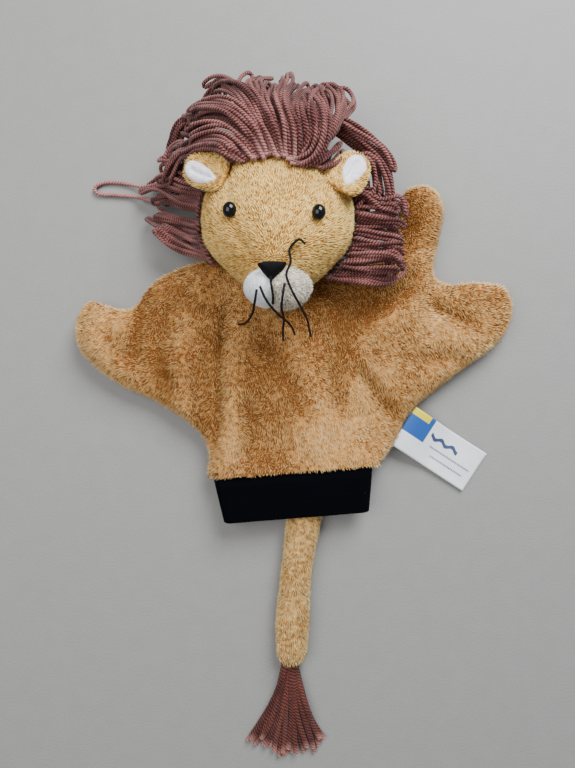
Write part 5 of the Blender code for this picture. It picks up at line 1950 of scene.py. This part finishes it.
@dataclass
class Mane:
    """Loops of yarn sewn round the head in hanks."""

    centre: Point = (-0.0083, 0.091, 0.031)
    radii: Point = (0.0420, 0.0420, 0.0312)
    table_z: float = 0.0016
    shoulder_z: float = 0.0184  # how much higher strands lie over the glove's shoulder
    shoulder_y: Spot = (0.088, 0.104)
    wander: float = 0.0030
    seed: int = 11
    stray_loop: tuple[Point, ...] = (
        (-70.0, 112.0, 15.0), (-77.0, 114.0, 8.0), (-85.0, 116.8, 4.2), (-95.0, 119.5, 1.9),
        (-107.0, 120.5, 1.8), (-114.0, 117.8, 1.8), (-112.2, 114.0, 1.8), (-103.0, 113.2, 1.8),
        (-92.0, 112.2, 2.2), (-84.0, 109.8, 4.5), (-77.0, 107.5, 8.5), (-70.0, 106.0, 14.0))

    def strands(self, hanks: tuple[Hank, ...], over_glove: bool,
                rng: np.random.Generator) -> list[np.ndarray]:
        """The loops of several hanks.

        Args:
            hanks: the bundles.
            over_glove: whether they lie on the glove's shoulder wherever it is beneath.
            rng: the random numbers.

        Returns:
            Each loop's points.
        """
        out = []
        for hank in hanks:
            points = list(hank.points)
            if over_glove:  # these are sewn under the cheek
                x, y, z = points[0]
                points.insert(0, (x * 0.72, y * 0.80, z - 7))
            line = smooth_curve(np.array(points) * MM + (*self.centre[:2], 0.0), 12)
            out += [self._loop(line, hank, i, over_glove, rng) for i in range(hank.loops)]
        return out

    def _loop(self, line: np.ndarray, hank: Hank, number: int, over_glove: bool,
              rng: np.random.Generator) -> np.ndarray:
        """One loop: out beside the hank's line, round at its tip, and back.

        Args:
            line: the hank's line.
            hank: the hank.
            number: the loop's number in it.
            over_glove: whether it lies on the glove's shoulder.
            rng: the random numbers.

        Returns:
            The loop's points.
        """
        way = np.gradient(line, axis=0)
        way /= np.linalg.norm(way, axis=1, keepdims=True)
        across = np.cross(way, np.array((0.0, 0.0, 1.0)))
        across /= np.maximum(np.linalg.norm(across, axis=1, keepdims=True), 0.3)
        over = np.cross(across, way)
        share = np.linspace(0, 1, len(line))
        broad = (hank.root + (1 - hank.root) * np.sin(np.pi * np.clip(share * 0.62, 0, 1)))[:, None]
        first = (2 * (number + 0.5) / hank.loops - 1) * 0.82 + rng.uniform(-0.12, 0.12)
        second = float(np.clip(first + rng.choice((-1, 1)) * rng.uniform(0.30, 0.60), -1.05, 1.05))
        heights = rng.uniform(-1, 1, 2)
        reach = rng.uniform(0.70, 1.0)
        keep = share <= reach
        tag = rng.uniform(0, 90)
        wobble = np.array([[noise.noise(Vector((s * 2.6, tag, k * 9.0 + 0.5))) for s in share]
                           for k in range(4)]) * self.wander
        stray = rng.normal(0, 1, 3) * np.array((1.0, 1.0, 0.5)) * hank.stray * MM
        sides = []
        for k, (offset, height) in enumerate(((first, heights[0]), (second, heights[1]))):
            side = (line + across * (broad * offset * hank.spread * MM + wobble[k][:, None])
                    + over * (broad * height * hank.thick * MM + wobble[k + 2][:, None] * 0.7)
                    + stray * share[:, None] ** 1.5)
            sides.append(side[keep])
        a, b = sides[0][-1], sides[1][-1]
        forward = way[keep][-1]
        turn = [(a + b) / 2 + (a - b) / 2 * math.cos(t) + forward * np.linalg.norm(a - b) * 0.62 * math.sin(t)
                for t in np.linspace(0, math.pi, 9)[1:-1]]
        loop = np.concatenate([sides[0], np.array(turn), sides[1][::-1]])
        return self._clear(loop, over_glove)

    def _clear(self, loop: np.ndarray, over_glove: bool) -> np.ndarray:
        """Pushes a strand out of the head and up from what lies beneath.

        Args:
            loop: the strand's points.
            over_glove: whether it lies on the glove's shoulder.

        Returns:
            The moved points.
        """
        centre, radii = np.array(self.centre), np.array(self.radii)
        gap = (loop - centre) / radii
        far = np.linalg.norm(gap, axis=1, keepdims=True)
        from_root = np.minimum(np.arange(len(loop)), np.arange(len(loop))[::-1]) / len(loop)
        push = smoothstep(from_root, 0.0, 0.10)[:, None] if over_glove else 1.0
        loop = loop + push * np.where(far < 1, centre + gap / np.maximum(far, 1e-6) * radii - loop, 0.0)
        low = np.full(len(loop), self.table_z)
        if over_glove:
            low += self.shoulder_z * (1 - smoothstep(loop[:, 1], *self.shoulder_y))
        loop[:, 2] = np.maximum(loop[:, 2], low + 0.15 * (loop[:, 2] - low).clip(-0.004, 0))
        return loop

    def build(self) -> None:
        """Makes the three bundles and the stray loop."""
        rng = np.random.default_rng(self.seed)
        yarn = Yarn(diameter=0.0021, sides=7, step=0.0013)
        for node, hanks, over_glove in (("mane_top", TOP_HANKS, False), ("mane_left", LEFT_HANKS, True),
                                        ("mane_right", RIGHT_HANKS, True)):
            piece = yarn.lay(node + "_yarn", self.strands(hanks, over_glove, rng), MANE_YARN)
            sew(piece, "head", "mane_yarn", node)
        piece = yarn.lay("mane_loop_yarn", [drawn(self.stray_loop, 10)], LOOP_YARN)
        sew(piece, "head", "mane_yarn", "mane_loop")


TOP_HANKS = (
    Hank(((8, 43, 40), (-1, 61, 36), (-16, 68, 26), (-28, 72, 14)), 5, 6.0),
    Hank(((8, 43, 40), (8, 58, 34), (10, 68, 22), (16, 72, 12)), 5, 6.0),
    Hank(((-22, 24, 52), (-34, 37, 44), (-45, 48, 30), (-47, 58, 18)), 5, 5.0),
    Hank(((18, 28, 50), (27, 40, 50), (31, 55, 42), (29, 66, 34), (22, 72, 26)), 6, 4.6),
    Hank(((-6, 24, 51), (-17, 43, 52), (-28, 49, 46), (-41, 54, 34), (-46, 59, 24)), 6, 4.6),
    Hank(((-1, 23, 53), (-7, 40, 56), (-17, 58, 50), (-28, 68, 38), (-36, 66, 28)), 6, 4.8),
    Hank(((-8, 22, 54), (-16, 31, 56), (-28, 39, 52), (-42, 40, 44), (-49, 35, 36)), 6, 4.6),
    Hank(((-15, 22, 53), (-22, 26, 56), (-28, 30, 54), (-40, 32, 46), (-48, 31, 38)), 5, 3.8),
    Hank(((-4, 22.5, 54), (-11, 36, 58), (-22, 48, 54), (-35, 53, 44), (-44, 52, 34)), 6, 4.8),
    Hank(((3, 22, 54), (-2, 37, 58), (-8, 51, 54), (-12, 65, 42), (-7, 72, 32)), 6, 4.8),
    Hank(((7, 22, 54), (4, 37, 59), (0, 53, 54), (2, 66, 42), (-1, 72, 30)), 6, 4.8),
    Hank(((12, 22, 54), (11, 36, 59), (7, 51, 54), (11, 65, 42), (17, 71, 32)), 6, 4.8),
    Hank(((9, 21, 53), (15, 32, 58), (15, 44, 59), (16, 55, 52), (20, 66, 40)), 6, 4.6),
    Hank(((5, 20.5, 54), (17, 24, 58), (22, 35, 60), (21, 49, 56), (15, 62, 46)), 8, 6.0, 3.0),
    Hank(((15, 20, 53), (22, 22, 54), (27, 28, 50), (31, 39, 42)), 4, 3.4),
    Hank(((26, 38, 44), (32, 50, 38), (38, 60, 30), (33, 68, 26), (28, 66, 24)), 3, 3.2),
)

LEFT_HANKS = (
    Hank(((-35, 17, 34), (-46, 22, 30), (-56, 29, 24), (-65, 30, 16)), 5, 4.0),
    Hank(((-36, 10, 34), (-48, 15, 28), (-60, 21, 20), (-71, 23, 12)), 5, 4.2),
    Hank(((-36, 3, 34), (-50, 9, 26), (-63, 17, 16), (-74, 18, 8)), 5, 4.2),
    Hank(((-36, -5, 34), (-49, 0, 24), (-64, 6, 14), (-75, 15, 6)), 5, 4.2),
    Hank(((-35, -12, 34), (-48, -8, 24), (-62, -2, 14), (-75, 6, 6)), 5, 4.2),
    Hank(((-33, -20, 34), (-44, -16, 26), (-58, -9, 17), (-71, -1, 8)), 5, 4.0),
    Hank(((-41, 22, 26), (-53, 27, 18), (-64, 24, 10), (-74, 21, 5)), 4, 4.2),
    Hank(((-49, 34, 36), (-56, 35, 26), (-56, 29, 18), (-65, 24, 10)), 4, 3.6),
    Hank(((-48, 53, 26), (-56, 44, 20), (-58, 36, 14), (-67, 30, 8)), 4, 3.6),
    Hank(((-38, 30, 44), (-50, 31, 38), (-58, 24, 30), (-66, 14, 20)), 4, 3.6),
)

RIGHT_HANKS = (
    Hank(((27, 48, 40), (41, 42, 40), (54, 34, 36), (60, 24, 32), (61, 12, 30)), 3, 2.2),
    Hank(((30, 46, 36), (44, 38, 34), (53, 28, 30), (51, 17, 28)), 4, 3.4),
    Hank(((38, -15, 31), (49, -16, 33), (62, -15, 30), (61, -20, 26)), 5, 4.0),
    Hank(((39, -6, 32), (51, -8, 34), (63, -9, 30), (61, -14, 27)), 5, 4.0),
    Hank(((34, -23, 29), (47, -24, 32), (61, -22, 30), (65, -27, 25)), 5, 4.0),
    Hank(((31, -29, 27), (44, -31, 29), (57, -31, 27), (66, -26, 25)), 5, 3.6),
    Hank(((45, 10, 26), (48, -2, 27), (49, -13, 26), (45, -24, 25)), 4, 3.8),
    Hank(((40, 3, 33), (52, 1, 34), (62, 1, 30), (62, -6, 28)), 5, 4.0),
    Hank(((43, 12, 34), (53, 8, 33), (62, 8, 30), (63, 1, 28)), 5, 4.0),
    Hank(((46, 30, 40), (52, 23, 36), (54, 13, 33), (49, 8, 32)), 5, 3.4),
)


# ---------------------------------------------------------------- whiskers


@dataclass(frozen=True)
class Whisker:
    """A waxed thread knotted into the muzzle."""

    name: str
    points: tuple[Point, ...]
    diameter: float = 0.0012

    def build(self) -> None:
        """Makes the thread, a free cord from its knot on."""
        route = smooth_curve(self.points, 14)
        piece = Yarn(diameter=self.diameter, step=0.0005).lay(self.name + "_thread", [route], BLACK_THREAD)
        sew(piece, "head", "black_thread", self.name)


WHISKERS = (
    Whisker("whisker_left_inner", (
        (-0.0165, 0.0515, 0.0575), (-0.0135, 0.0450, 0.0570), (-0.0085, 0.0395, 0.0500),
        (-0.0040, 0.0370, 0.0370), (-0.0010, 0.0350, 0.0260), (0.0010, 0.0310, 0.0205))),
    Whisker("whisker_left_outer", (
        (-0.0180, 0.0500, 0.0575), (-0.0190, 0.0445, 0.0555), (-0.0205, 0.0410, 0.0450),
        (-0.0230, 0.0390, 0.0310), (-0.0265, 0.0370, 0.0220), (-0.0300, 0.0368, 0.0192))),
    Whisker("whisker_right_outer", (
        (0.0054, 0.0722, 0.0569), (0.0022, 0.0740, 0.0582), (-0.0020, 0.0695, 0.0574),
        (-0.0016, 0.0632, 0.0575), (-0.0036, 0.0572, 0.0600), (-0.0025, 0.0525, 0.0598),
        (0.0005, 0.0465, 0.0580), (0.0045, 0.0410, 0.0480), (0.0070, 0.0385, 0.0330),
        (0.0085, 0.0350, 0.0235), (0.0095, 0.0300, 0.0200))),
    Whisker("whisker_right_inner", (
        (-0.0045, 0.0525, 0.0600), (-0.0055, 0.0460, 0.0590), (-0.0060, 0.0415, 0.0500),
        (-0.0050, 0.0385, 0.0340), (-0.0055, 0.0340, 0.0235), (-0.0055, 0.0280, 0.0200))),
)


# ---------------------------------------------------------------- inside, table and light


def finish_hidden_parts() -> None:
    """Gives the parts inside the head their finishes."""
    for node, finish in (("head_stuffing", WADDING), ("finger_sleeve", SLEEVE_CLOTH),
                         ("eye_washer_left", WASHER_PLASTIC), ("eye_washer_right", WASHER_PLASTIC)):
        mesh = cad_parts[node].data
        mesh.materials.clear()
        mesh.materials.append(finish.material())


def set_camera() -> None:
    """A camera straight above the glove's middle."""
    camera = bpy.data.cameras.new("camera")
    camera.lens, camera.sensor_width, camera.clip_start = CAMERA_LENS, 36.0, 0.01
    item = bpy.data.objects.new("camera", camera)
    item.location = CAMERA_PLACE
    bpy.context.scene.collection.objects.link(item)
    bpy.context.scene.camera = item


@dataclass(frozen=True)
class Lamp:
    """A soft panel of light that faces the glove."""

    name: str
    place: Point
    size: float
    power: float
    colour: Colour = (1.0, 1.0, 1.0)

    def build(self) -> None:
        """Adds the panel."""
        light = bpy.data.lights.new(self.name, "AREA")
        light.energy, light.size, light.color = self.power, self.size, self.colour
        item = bpy.data.objects.new(self.name, light)
        item.location = self.place
        item.rotation_euler = (-Vector(self.place)).to_track_quat("-Z", "Y").to_euler()
        bpy.context.scene.collection.objects.link(item)


LAMPS = (
    Lamp("window", (0.30, 0.60, 0.60), 0.50, 15.5, (0.96, 0.985, 1.0)),
    Lamp("fill", (-0.50, 0.10, 1.0), 0.8, 9.0, (1.0, 0.98, 0.95)),
)


def build_table() -> None:
    """The table and the light on it."""
    corners = np.array([(-1, -1, 0), (1, -1, 0), (1, 1, 0), (-1, 1, 0)]) * TABLE_HALF
    mesh = mesh_from("table", corners, [(0, 1, 2, 3)], smooth=False)
    link("table", mesh, TABLE_FINISH)
    world = bpy.data.worlds.new("room")
    world.use_nodes = True
    background = world.node_tree.nodes["Background"].inputs
    background["Color"].default_value = (*ROOM_COLOUR, 1.0)
    background["Strength"].default_value = ROOM_STRENGTH
    bpy.context.scene.world = world
    for lamp in LAMPS:
        lamp.build()


def main() -> None:
    """Builds the puppet, one part after another."""
    logging.basicConfig(level=logging.INFO, format="%(message)s")
    set_camera()
    build_table()
    for whisker in WHISKERS:
        whisker.build()
    Glove().build()
    FoldedPaw().build()
    Cuff().build()
    Neck().build()
    Tail().build()
    Label().build()
    Head().build()
    for ear in EARS:
        ear.build()
    Mane().build()
    finish_hidden_parts()


if __name__ == "__main__":
    main()
